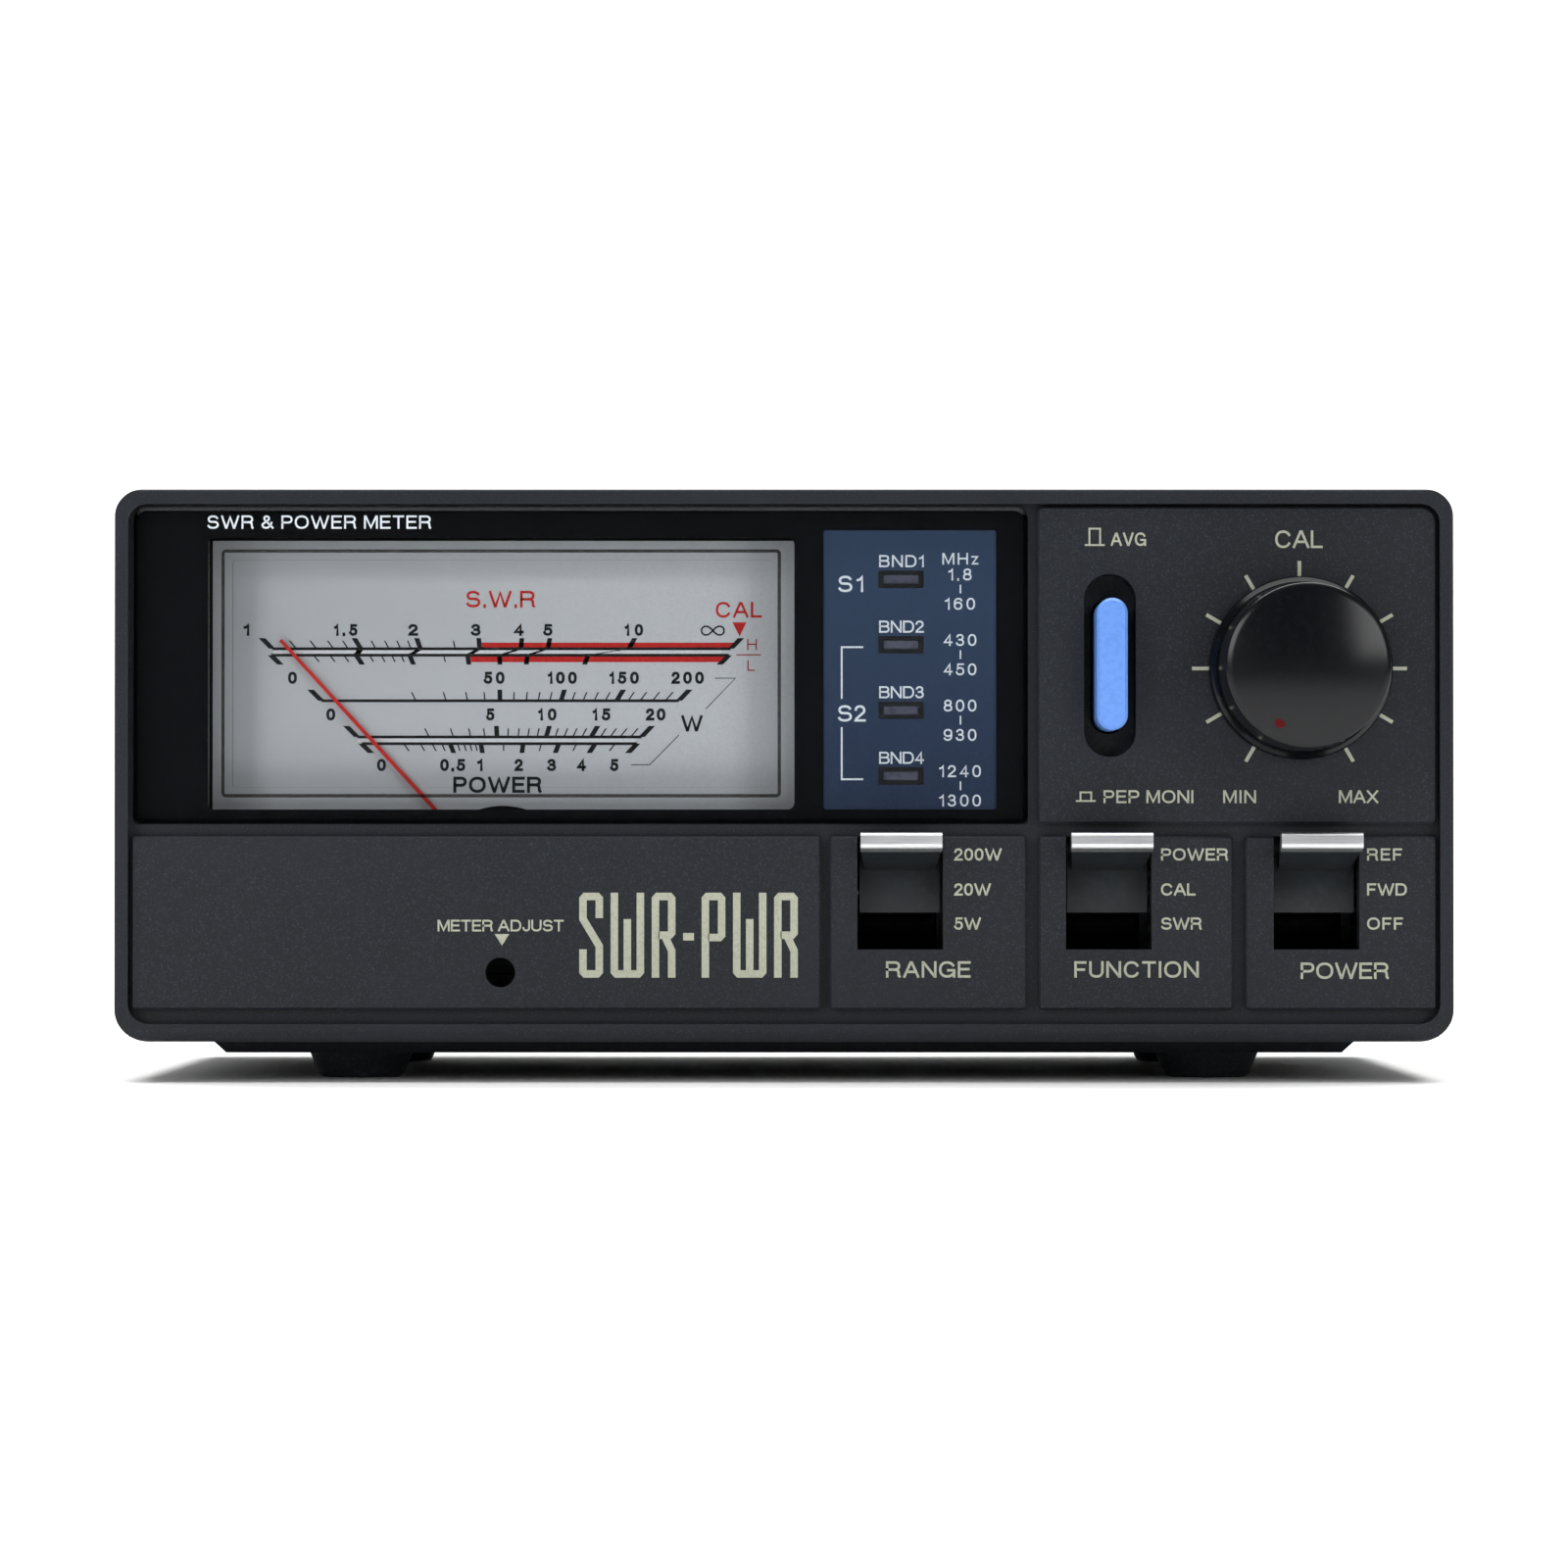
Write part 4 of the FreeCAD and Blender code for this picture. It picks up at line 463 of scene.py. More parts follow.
FINISHES = {
    "front_bezel": charcoal_paint,
    "top_cover": baked_enamel,
    "bottom_cover": pan_enamel,
    "rear_panel": panel_paint,
    "rubber_feet": foot_rubber,
    "foot_screws": zinc_steel,
    "case_screws": black_oxide,
    "panel_screws": black_oxide,
    "window_lens": acrylic,
    "window_mask": mask_print,
    "band_panel": band_blue,
    "led_holder": black_nylon,
    "band_leds": led_epoxy,
    "meter_cover": polystyrene,
    "meter_base": black_nylon,
    "dial_plate": dial_silver,
    "yoke_ring": soft_iron,
    "core_magnet": ground_magnet,
    "movement_bridge": black_brass,
    "jewel_screws": turned_brass,
    "moving_coil": copper_winding,
    "pointer": needle_lacquer,
    "balance_weight": turned_brass,
    "hairsprings": spring_bronze,
    "zero_arm": turned_brass,
    "zero_screw": nylon_painted_hole_shade,
    "meter_lamps": lamp_glass,
    "cal_knob": knob_abs,
    "cal_shaft": turned_alloy,
    "cal_pot_body": zinc_steel,
    "panel_nuts": zinc_steel,
    "avg_button": blue_abs,
    "avg_plunger": black_nylon,
    "avg_switch_body": black_nylon,
    "lever_switch_frames": frame_painted_slot_shade,
    "lever_pivot_pins": zinc_steel,
    "control_board": board_mask,
    "internal_screws": zinc_steel,
    "uhf_sockets": nickel,
    "n_sockets": nickel,
    "socket_insulators": ptfe,
    "socket_contacts": gold_flash,
    "socket_screws": zinc_steel,
    "sensor_boxes": die_cast,
    "sensor_covers": tinplate,
    "inner_lines": copper_bar,
    "s1_transformer": ferrite,
    "sensor_boards": paper_board,
    "dc_jack": black_nylon,
    "internal_leads": grey_pvc,
}
for switch in ("range", "function", "power"):
    FINISHES[switch + "_lever"] = acetal
    FINISHES[switch + "_lever_tip"] = bright_chrome
    FINISHES[switch + "_contact"] = silvered
for node_name, node_object in NODES.items():
    for material_slot in node_object.material_slots:
        material_slot.material = FINISHES[node_name]


# ---- printing ----


def new_object(name, mesh):
    """An object for some data, in the scene's collection."""
    made = bpy.data.objects.new(name, mesh)
    bpy.context.scene.collection.objects.link(made)
    return made


def bow(cx, cy, rx, ry, start, end, square=2.25):
    """Points along part of a rounded oval, from one angle to another."""
    steps = max(2, round(abs(end - start) / 15))
    points = []
    for i in range(steps + 1):
        turn = math.radians(start + (end - start) * i / steps)
        c, s = math.cos(turn), math.sin(turn)
        across = math.copysign(abs(c) ** (2 / square), c)
        up = math.copysign(abs(s) ** (2 / square), s)
        points.append((cx + rx * across, cy + ry * up))
    return points


OVAL = bow(0.5, 0.5, 0.5, 0.5, 0, 360)
SIX = [bow(0.5, 0.31, 0.5, 0.31, 0, 360), bow(0.54, 0.56, 0.54, 0.44, 35, 180) + [(0, 0.3)]]
LETTERS = {
    " ": (0.24, []),
    ".": (0.19, [[(0.5, -0.05), (0.5, 0.05)]]),
    "-": (0.4, [[(0, 0.42), (1, 0.42)]]),
    "&": (
        0.92,
        [
            [(1, 0), (0.24, 0.7)]
            + bow(0.42, 0.81, 0.22, 0.19, 190, -35)
            + [(0.12, 0.38)]
            + bow(0.36, 0.24, 0.34, 0.24, 170, 300)
            + [(0.78, 0.2), (0.88, 0.44)]
        ],
    ),
    "0": (0.72, [OVAL]),
    "1": (0.4, [[(0, 0.77), (0.55, 0.82), (1, 1), (1, 0)]]),
    "2": (0.7, [bow(0.49, 0.72, 0.46, 0.28, 172, -28) + [(0.1, 0.12), (0.02, 0), (1, 0)]]),
    "3": (
        0.7,
        [
            bow(0.48, 0.765, 0.42, 0.235, 165, -90) + [(0.36, 0.53)],
            bow(0.48, 0.265, 0.5, 0.265, 90, -165),
        ],
    ),
    "4": (0.74, [[(0.74, 0), (0.74, 1), (0, 0.27), (1, 0.27)]]),
    "5": (0.72, [[(0.93, 1), (0.2, 1), (0.08, 0.48)] + bow(0.48, 0.32, 0.5, 0.32, 128, -162)]),
    "6": (0.72, SIX),
    "8": (0.72, [bow(0.5, 0.765, 0.42, 0.235, 0, 360), bow(0.5, 0.265, 0.5, 0.265, 0, 360)]),
    "9": (0.72, [[(1 - x, 1 - y) for x, y in stroke] for stroke in SIX]),
    "A": (0.98, [[(0, 0), (0.46, 1), (0.54, 1), (1, 0)], [(0.2, 0.33), (0.8, 0.33)]]),
    "B": (
        0.86,
        [
            [(0, 0), (0, 1), (0.62, 1)] + bow(0.62, 0.765, 0.33, 0.235, 75, -90) + [(0, 0.53)],
            [(0.62, 0.53)] + bow(0.66, 0.265, 0.34, 0.265, 75, -90) + [(0, 0)],
        ],
    ),
    "C": (0.95, [bow(0.5, 0.5, 0.5, 0.5, 32, 328)]),
    "D": (0.92, [[(0, 0), (0, 1), (0.5, 1)] + bow(0.5, 0.5, 0.5, 0.5, 75, -75) + [(0.5, 0), (0, 0)]]),
    "E": (0.78, [[(1, 1), (0, 1), (0, 0), (1, 0)], [(0, 0.52), (0.9, 0.52)]]),
    "F": (0.74, [[(1, 1), (0, 1), (0, 0)], [(0, 0.49), (0.86, 0.49)]]),
    "G": (1.0, [bow(0.5, 0.5, 0.5, 0.5, 34, 318), [(0.58, 0.44), (1, 0.44), (1, 0)]]),
    "H": (0.88, [[(0, 0), (0, 1)], [(1, 0), (1, 1)], [(0, 0.52), (1, 0.52)]]),
    "I": (0.17, [[(0.5, 0), (0.5, 1)]]),
    "J": (0.66, [[(1, 1), (1, 0.32)] + bow(0.5, 0.32, 0.5, 0.32, -15, -170)]),
    "L": (0.7, [[(0, 1), (0, 0), (1, 0)]]),
    "M": (1.04, [[(0, 0), (0, 1), (0.07, 1), (0.5, 0.04), (0.93, 1), (1, 1), (1, 0)]]),
    "N": (0.9, [[(0, 0), (0, 1), (0.06, 1), (0.94, 0), (1, 0), (1, 1)]]),
    "O": (1.04, [OVAL]),
    "P": (0.83, [[(0, 0), (0, 1), (0.6, 1)] + bow(0.6, 0.73, 0.4, 0.27, 75, -90) + [(0, 0.46)]]),
    "R": (
        0.9,
        [
            [(0, 0), (0, 1), (0.6, 1)] + bow(0.6, 0.745, 0.36, 0.255, 75, -90) + [(0, 0.49)],
            [(0.6, 0.49)] + bow(0.62, 0.27, 0.3, 0.22, 70, 5) + [(0.94, 0.06), (1, 0)],
        ],
    ),
    "S": (0.86, [bow(0.5, 0.745, 0.45, 0.255, 22, 236) + bow(0.5, 0.27, 0.5, 0.27, 62, -160)]),
    "T": (0.84, [[(0, 1), (1, 1)], [(0.5, 1), (0.5, 0)]]),
    "U": (0.88, [[(0, 1), (0, 0.36)] + bow(0.5, 0.36, 0.5, 0.36, 195, 345) + [(1, 0.36), (1, 1)]]),
    "V": (0.94, [[(0, 1), (0.46, 0), (0.54, 0), (1, 1)]]),
    "W": (1.36, [[(0, 1), (0.24, 0), (0.28, 0), (0.5, 0.94), (0.72, 0), (0.76, 0), (1, 1)]]),
    "X": (0.9, [[(0, 0), (1, 1)], [(0, 1), (1, 0)]]),
    # Tall squared letters for the panel's name, under small letters and an underline.
    "s": (
        0.305,
        [
            [(1, 0.77), (1, 0.97), (0.87, 1), (0.13, 1), (0, 0.97), (0, 0.71), (1, 0.36)]
            + [(1, 0.03), (0.87, 0), (0.13, 0), (0, 0.03), (0, 0.27)]
        ],
    ),
    "w": (
        0.43,
        [
            [(0, 1), (0, 0.03), (0.08, 0), (0.42, 0), (0.5, 0.03), (0.58, 0), (0.92, 0), (1, 0.03), (1, 1)],
            [(0.5, 0.1), (0.5, 0.66)],
        ],
    ),
    "p": (0.305, [[(0, 0), (0, 0.97), (0.13, 1), (0.87, 1), (1, 0.97), (1, 0.5), (0.87, 0.47), (0.4, 0.47)]]),
    "r": (
        0.305,
        [
            [(0, 0), (0, 0.97), (0.13, 1), (0.87, 1), (1, 0.97), (1, 0.53), (0.87, 0.5), (0.4, 0.5)],
            [(0.66, 0.45), (1, 0.3), (1, 0)],
        ],
    ),
    "_": (0.14, [[(0, 0.48), (1, 0.48)]]),
    "z": (0.62, [[(0, 0.7), (0.95, 0.7), (0.05, 0), (1, 0)]]),
}


class Print:
    """One printed layer: letters and shapes on the plane at a depth, all in one ink.

    Places are u to the reader's right and v up. The reader stands in front, or behind for a rear legend.
    """

    def __init__(self, name, depth, ink, pen=0.15, from_behind=False):
        self.name, self.depth, self.ink, self.pen = name, depth, ink, pen
        self.turn = -1 if from_behind else 1
        self.mesh = bmesh.new()
        self.coats = 0

    def place(self, u, v, level):
        """A point on the layer: level 0 is against the surface, level 1 is the ink's face."""
        return at(self.turn * u, self.depth - self.turn * (0.002 + INK * level), v)

    def patch(self, outline):
        """A convex shape given by its corners, anticlockwise for the reader."""
        front = [self.mesh.verts.new(self.place(u, v, 1)) for u, v in outline]
        back = [self.mesh.verts.new(self.place(u, v, 0)) for u, v in outline]
        self.mesh.faces.new(front)
        self.mesh.faces.new(back[::-1])
        for i, corner in enumerate(front):
            self.mesh.faces.new([corner, back[i], back[i - len(back) + 1], front[i - len(front) + 1]])

    def stroke(self, points, width, loop=False, past=0.5):
        """A line of even width. Its open ends run past the last points by a share of the width.

        Each is a hair thicker than the one before it, so that lines that cross don't share a face.
        """
        self.coats = self.coats % 3 + 1
        face = 1 + 0.05 * self.coats
        points = [Vector(p) for p in points]
        last = len(points) - 1
        runs = [(b - a).normalized() for a, b in zip(points, points[1:] + points[:1])]
        edges = []
        for i, point in enumerate(points):
            ahead = runs[i] if loop or i < last else runs[i - 1]
            behind = runs[i - 1] if loop or i > 0 else ahead
            middle = (ahead + behind).normalized()
            side = Vector((-middle.y, middle.x))
            reach = width / 2 / max(0.55, side.dot(Vector((-ahead.y, ahead.x))))
            if not loop and i in (0, last):
                point = point + ahead * width * (past if i else -past)
            corners = [(point + side * reach, face), (point - side * reach, face)]
            corners += [(point - side * reach, 0), (point + side * reach, 0)]
            edges.append([self.mesh.verts.new(self.place(*corner, level)) for corner, level in corners])
        for start, end in zip(edges, edges[1:] + edges[:1] if loop else edges[1:]):
            for i in range(4):
                self.mesh.faces.new([start[i], start[i - 3], end[i - 3], end[i]])
        if not loop:
            self.mesh.faces.new(edges[0][::-1])
            self.mesh.faces.new(edges[-1])

    def words(self, text, left, right, foot, height, pen=None):
        """Text spaced out between two sides, standing on its foot."""
        pen = height * (pen or self.pen)
        widths = [LETTERS[letter][0] * height for letter in text]
        least = 0.09 * height * (len(text) - 1)
        squeeze = (right - left - least) / sum(widths)
        squeeze = min(1.0, squeeze) if len(text) > 1 else squeeze
        gap = (right - left - sum(widths) * squeeze) / max(1, len(text) - 1)
        for letter, width in zip(text, widths):
            width *= squeeze
            for drawn in LETTERS[letter][1]:
                loop = math.dist(drawn[0], drawn[-1]) < 1e-6
                points = [
                    (left + pen / 2 + u * (width - pen), foot + pen / 2 + v * (height - pen))
                    for u, v in (drawn[:-1] if loop else drawn)
                ]
                self.stroke(points, pen, loop)
            left += width + gap

    def centred(self, text, middle, width, foot, height, pen=None):
        self.words(text, middle - width / 2, middle + width / 2, foot, height, pen)

    def line(self, start, end, width):
        self.stroke((start, end), width, past=0)

    def slanted(self, u_low, v_low, u_high, v_high, width):
        """A bar with level ends between two heights."""
        half = width / 2
        foot = [(u_low - half, v_low), (u_low + half, v_low)]
        self.patch(foot + [(u_high + half, v_high), (u_high - half, v_high)])

    def finish(self, slot="bezel_paint"):
        """Turns the layer into one object on the case, in its ink."""
        data = bpy.data.meshes.new(self.name)
        self.mesh.to_mesh(data)
        self.mesh.free()
        data.materials.append(self.ink)
        made = new_object(self.name, data)
        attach(made, CASE)


# Front tiles.
tiles = Print("tile_print", TILE_Y, beige_ink)
tiles.centred("METER ADJUST", -32.8, 14.6, 17.5, 1.35, 0.16)
tiles.patch([(-33.5, 17.2), (-32.65, 15.85), (-31.8, 17.2)])
tiles.words("swr_pwr", -23.7, 1.6, 12.15, 9.83, 0.088)
ROWS = (25.7, 21.65, 17.7)
SWITCHES = (
    (19.7, (("200W", 5.5), ("20W", 4.25), ("5W", 3.1))),
    (43.65, (("POWER", 7.75), ("CAL", 4.0), ("SWR", 4.7))),
    (67.5, (("REF", 4.05), ("FWD", 4.6), ("OFF", 4.15))),
)
for left, labels in SWITCHES:
    for foot, (label, width) in zip(ROWS, labels):
        tiles.words(label, left, left + width, foot, 1.42, 0.165)
TITLES = (("RANGE", 16.7, 9.8, 12.15), ("FUNCTION", 40.8, 14.4, 12.15), ("POWER", 64.9, 10.2, 12.0))
for label, middle, width, foot in TITLES:
    tiles.centred(label, middle, width, foot, 1.9, 0.15)
tiles.words("AVG", 37.85, 41.95, 62.15, 1.55)
tiles.words("PEP MONI", 37.0, 47.4, 32.35, 1.5)
tiles.words("MIN", 50.85, 54.65, 32.35, 1.5)
tiles.words("MAX", 64.25, 68.8, 32.35, 1.5)
tiles.centred("CAL", 59.65, 5.5, 61.9, 2.05, 0.135)
for middle, foot, height in ((36.0, 62.15, 2.0), (34.95, 32.5, 1.1)):
    tiles.stroke([(middle - 1.05, foot + 0.1), (middle + 1.05, foot + 0.1)], 0.2)
    left, right, top = middle - 0.62, middle + 0.62, foot + height
    tiles.stroke([(left, foot), (left, top), (right, top), (right, foot)], 0.2, past=0)
tiles.finish()

# Window title, printed on the lens's back.
title = Print("window_title", BACK_OF_LENS_Y, white_ink, 0.14)
title.words("SWR & POWER METER", -67.0, -41.0, 64.25, 1.55)
title.finish("mask_print")

# Band column: four bands, two sensors.
bands = Print("band_print", BAND_Y, band_ink, 0.14)
BAND_TOP, BAND_PITCH = 58.4, 7.62
RANGES = (
    ("1.8", 2.7, "160", 3.5),
    ("430", 3.8, "450", 3.8),
    ("800", 3.8, "930", 3.8),
    ("1240", 4.85, "1300", 4.85),
)
for number, (low, low_width, high, high_width) in enumerate(RANGES):
    row = BAND_TOP - number * BAND_PITCH
    bands.centred(f"BND{number + 1}", 13.65, 5.2, row + 1.4, 1.4)
    bands.centred(low, 20.45, low_width, row - 0.14, 1.38)
    bands.line((20.5, row - 0.65), (20.5, row - 1.65), 0.17)
    bands.centred(high, 20.45, high_width, row - 3.55, 1.38)
bands.centred("MHz", 20.5, 4.2, 60.1, 1.35)
bands.words("S1", 6.3, 9.2, 56.9, 1.9)
bands.words("S2", 6.25, 9.5, 41.85, 1.9)
bands.stroke([(9.1, 50.5), (6.7, 50.5), (6.7, 44.6)], 0.2)
bands.stroke([(6.7, 41.1), (6.7, 35.15), (9.1, 35.15)], 0.2)
bands.finish("band_blue")

# Dial. Each scale is a level line, and its marks point at the needle's pivot.
black = Print("dial_black_print", DIAL_Y, black_ink, 0.235)
red = Print("dial_red_print", DIAL_Y, red_ink, 0.16)
dark_red = Print("dial_dark_red_print", DIAL_Y, dark_red_ink, 0.12)
pale = Print("dial_pale_print", DIAL_Y, pale_ink)


def on_line(angle, z):
    """Where a needle at that angle from upright crosses the level z."""
    return PIVOT[0] + math.tan(math.radians(angle)) * (z - PIVOT[1])


def mark(layer, angle, z_low, z_high, width):
    width /= math.cos(math.radians(angle))
    layer.slanted(on_line(angle, z_low), z_low, on_line(angle, z_high), z_high, width)


# Widths of the long marks, the short marks and the scales' own lines.
MAJOR, MINOR, LINE = 0.55, 0.155, 0.34
# The scales' angles are drawn from a centre at this height, a little above the needle's pivot.
DRAWN_Z = 24.5


def needle_angle(drawn, z):
    """The needle's angle at the place where a ray drawn at an angle from the scales' centre crosses z."""
    across = math.tan(math.radians(drawn)) * (z - DRAWN_Z)
    return math.degrees(math.atan2(across, z - PIVOT[1]))


# Standing-wave scale: the needle's travel follows the reflected share of the wave.
SWR_DRAWN = {1: -46.2, 1.5: -32.8, 2: -20.6, 3: -6.2, 4: 4.4, 5: 11.2, 10: 29.4, math.inf: 45.6}
SWR_LOW_DRAWN = {1: -47.2, 1.5: -34.4, 2: -23.6, 3: -9.6, 4: -1.1, 5: 6.2, 10: 21.3, math.inf: 46.2}
SWR_MINORS = (1.1, 1.2, 1.3, 1.4, 1.6, 1.7, 1.8, 1.9, 2.5)
UPPER, LOWER = 50.55, 49.8
SWR_MARKS = {ratio: needle_angle(drawn, UPPER) for ratio, drawn in SWR_DRAWN.items()}
SWR_LOW_MARKS = {ratio: needle_angle(drawn, LOWER) for ratio, drawn in SWR_LOW_DRAWN.items()}


def reflected(ratio):
    return 1.0 if ratio == math.inf else (ratio - 1) / (ratio + 1)


def swr_angle(marks, ratio):
    below = max(m for m in marks if m <= ratio)
    above = min(m for m in marks if m > ratio)
    share = (reflected(ratio) - reflected(below)) / (reflected(above) - reflected(below))
    return marks[below] + share * (marks[above] - marks[below])


pale.slanted(-33.6, LOWER + LINE / 2, -33.6, UPPER - LINE / 2, 52.6)
black.line((on_line(SWR_MARKS[1], UPPER), UPPER), (on_line(SWR_MARKS[math.inf], UPPER), UPPER), LINE)
black.line((on_line(SWR_LOW_MARKS[1], LOWER), LOWER), (on_line(SWR_LOW_MARKS[math.inf], LOWER), LOWER), LINE)
for ratio in SWR_MARKS:
    mark(black, SWR_MARKS[ratio], UPPER, UPPER + 1.25, MAJOR)
    mark(black, SWR_LOW_MARKS[ratio], LOWER - 1.1, LOWER, MAJOR)
    if 1 < ratio < math.inf:
        x_high, x_low = on_line(SWR_MARKS[ratio], UPPER), on_line(SWR_LOW_MARKS[ratio], LOWER)
        black.slanted(x_low, LOWER, x_high, UPPER, 0.75)
for ratio in SWR_MINORS:
    mark(black, swr_angle(SWR_MARKS, ratio), UPPER, UPPER + 0.95, MINOR)
    mark(black, swr_angle(SWR_LOW_MARKS, ratio), LOWER - 0.8, LOWER, MINOR)
RED_BARS = ((SWR_MARKS, UPPER + 0.14, UPPER + 0.72), (SWR_LOW_MARKS, LOWER - 0.82, LOWER - 0.14))
for marks, z_low, z_high in RED_BARS:
    first, last = marks[3], marks[math.inf]
    red.patch(
        [
            (on_line(first, z_low) + 0.3, z_low),
            (on_line(last, z_low) - 0.3, z_low),
            (on_line(last, z_high) - 0.3, z_high),
            (on_line(first, z_high) + 0.3, z_high),
        ]
    )
NUMBERS = (
    ("1", -63.05, 0.7),
    ("1.5", -51.4, 2.75),
    ("2", -43.5, 1.15),
    ("3", -36.15, 1.15),
    ("4", -31.1, 1.15),
    ("5", -27.7, 1.1),
    ("10", -17.6, 2.15),
)
for label, middle, width in NUMBERS:
    black.centred(label, middle, width, 52.07, 1.38)

# Infinity sign: a lying figure of eight.
STEPS = 48
loop = []
for step in range(STEPS):
    t = 2 * math.pi * step / STEPS
    spread = 1 + math.sin(t) ** 2
    loop.append((-8.35 + 1.33 * math.cos(t) / spread, 52.68 + 1.45 * math.sin(t) * math.cos(t) / spread))
black.stroke(loop, 0.2, loop=True)

# Power scales: a square-law detector, so the needle's travel follows a root of the power.
POWER_SCALES = (
    # line z, rise of marks, first and last drawn angle, root, full scale, minor step, numbers' foot
    (44.45, 1.3, -47.0, 45.8, 0.51, 200, 10, 46.43),
    (40.2, 1.3, -47.6, 45.8, 0.53, 20, 1, 42.13),
    (39.42, -1.1, -48.2, 46.3, 0.56, 5, 0.5, 36.2),
)
LABELS = (
    ((0, -57.65, 1.05), (50, -34.0, 2.45), (100, -26.0, 3.4), (150, -18.75, 3.45), (200, -11.3, 3.8)),
    ((0, -53.15, 1.05), (5, -34.45, 1.0), (10, -27.75, 2.15), (15, -21.4, 2.1), (20, -15.05, 2.3)),
    (
        (0, -47.2, 1.05),
        (0.5, -38.85, 2.95),
        (1, -35.65, 0.65),
        (2, -31.1, 1.0),
        (3, -27.25, 1.05),
        (4, -23.75, 1.05),
        (5, -19.9, 1.0),
    ),
)
for (z, rise, first, last, root, full, minor, foot), labels in zip(POWER_SCALES, LABELS):
    first, last = needle_angle(first, z), needle_angle(last, z)
    black.line((on_line(first, z), z), (on_line(last, z), z), LINE)
    values = {n * minor for n in range(1, round(full / minor))}
    if full == 5:
        values |= {n / 10 for n in range(1, 10)}
    numbered = {value for value, middle, width in labels}
    for value in sorted(values | numbered):
        angle = first + (last - first) * (value / full) ** root
        reach = rise if value in numbered else rise * 0.78
        mark(black, angle, *sorted((z, z + reach)), MAJOR if value in numbered else MINOR)
    for value, middle, width in labels:
        black.centred(f"{value:g}", middle, width, foot, 1.43)
pale.slanted(-33.7, 39.42 + LINE / 2, -33.7, 40.2 - LINE / 2, 32.6)
black.centred("POWER", -33.6, 10.35, 33.65, 1.9, 0.19)
black.centred("W", -10.8, 2.5, 40.85, 1.9, 0.17)
black.stroke([(-8.05, 47.1), (-5.7, 47.1), (-9.15, 43.5)], 0.1)
black.stroke([(-12.35, 40.4), (-15.75, 36.95), (-17.9, 36.95)], 0.1)
red.centred("S.W.R", -33.25, 8.1, 55.4, 1.95, 0.15)
red.centred("CAL", -5.3, 5.4, 54.2, 1.85, 0.15)
red.patch([(-6.05, 53.65), (-5.2, 52.0), (-4.4, 53.65)])
dark_red.centred("H", -3.75, 1.15, 50.4, 1.3)
dark_red.centred("L", -3.85, 0.9, 47.95, 1.25)
dark_red.line((-5.6, 49.84), (-2.7, 49.84), 0.14)
for layer in (black, red, dark_red, pale):
    layer.finish("dial_silver")

# Rear legends, read from behind.
rear = Print("rear_print", REAR_Y, beige_ink, 0.14, from_behind=True)
for x, label in zip(UHF_X + N_X, ("TX", "ANT", "TX", "ANT")):
    rear.centred(label, -x, 5.0 if label == "ANT" else 3.2, 51.6, 1.9)
for middle, label, span in ((38.5, "S1", "1.8-160 MHz"), (-38.5, "S2", "430-1300 MHz")):
    rear.centred(label, middle, 3.4, 58.5, 2.2)
    rear.centred(span, middle, 15.0, 55.2, 1.5)
    rear.stroke([(middle - 18, 54.5), (middle - 18, 57.3), (middle - 9.5, 57.3)], 0.2)
    rear.stroke([(middle + 9.5, 57.3), (middle + 18, 57.3), (middle + 18, 54.5)], 0.2)
rear.centred("DC 13.8V", 0, 9.0, 43.6, 1.5)
rear.finish("panel_paint")


# ---- pieces that repeat, from geometry trees ----


def new_tree(name, sockets):
    """A geometry tree with named inputs for its sizes, and its input and output nodes."""
    tree = bpy.data.node_groups.new(name, "GeometryNodeTree")
    for label, kind in sockets:
        tree.interface.new_socket(label, in_out="INPUT", socket_type=kind)
    tree.interface.new_socket("Geometry", in_out="OUTPUT", socket_type="NodeSocketGeometry")
    return tree, add(tree, "NodeGroupInput").outputs


def close_tree(tree, geometry, material):
    """Ends a tree: real geometry, one material."""
    real = add(tree, "GeometryNodeRealizeInstances", None, {"Geometry": geometry})
    coating = {"Geometry": real.outputs["Geometry"], "Material": material}
    done = add(tree, "GeometryNodeSetMaterial", None, coating)
    add(tree, "NodeGroupOutput", None, {"Geometry": done.outputs["Geometry"]})


def grow(name, tree, values):
    """Runs a tree with its inputs' values and returns the result as a plain mesh's object."""
    made = new_object(name, bpy.data.meshes.new(name))
    modifier = made.modifiers.new(name, "NODES")
    modifier.node_group = tree
    for item in tree.interface.items_tree:
        if item.in_out == "INPUT" and item.name in values:
            modifier[item.identifier] = values[item.name]
    bpy.context.view_layer.update()
    mesh = bpy.data.meshes.new_from_object(made.evaluated_get(bpy.context.evaluated_depsgraph_get()))
    made.modifiers.clear()
    made.data = mesh
    mesh.name = name
    return made


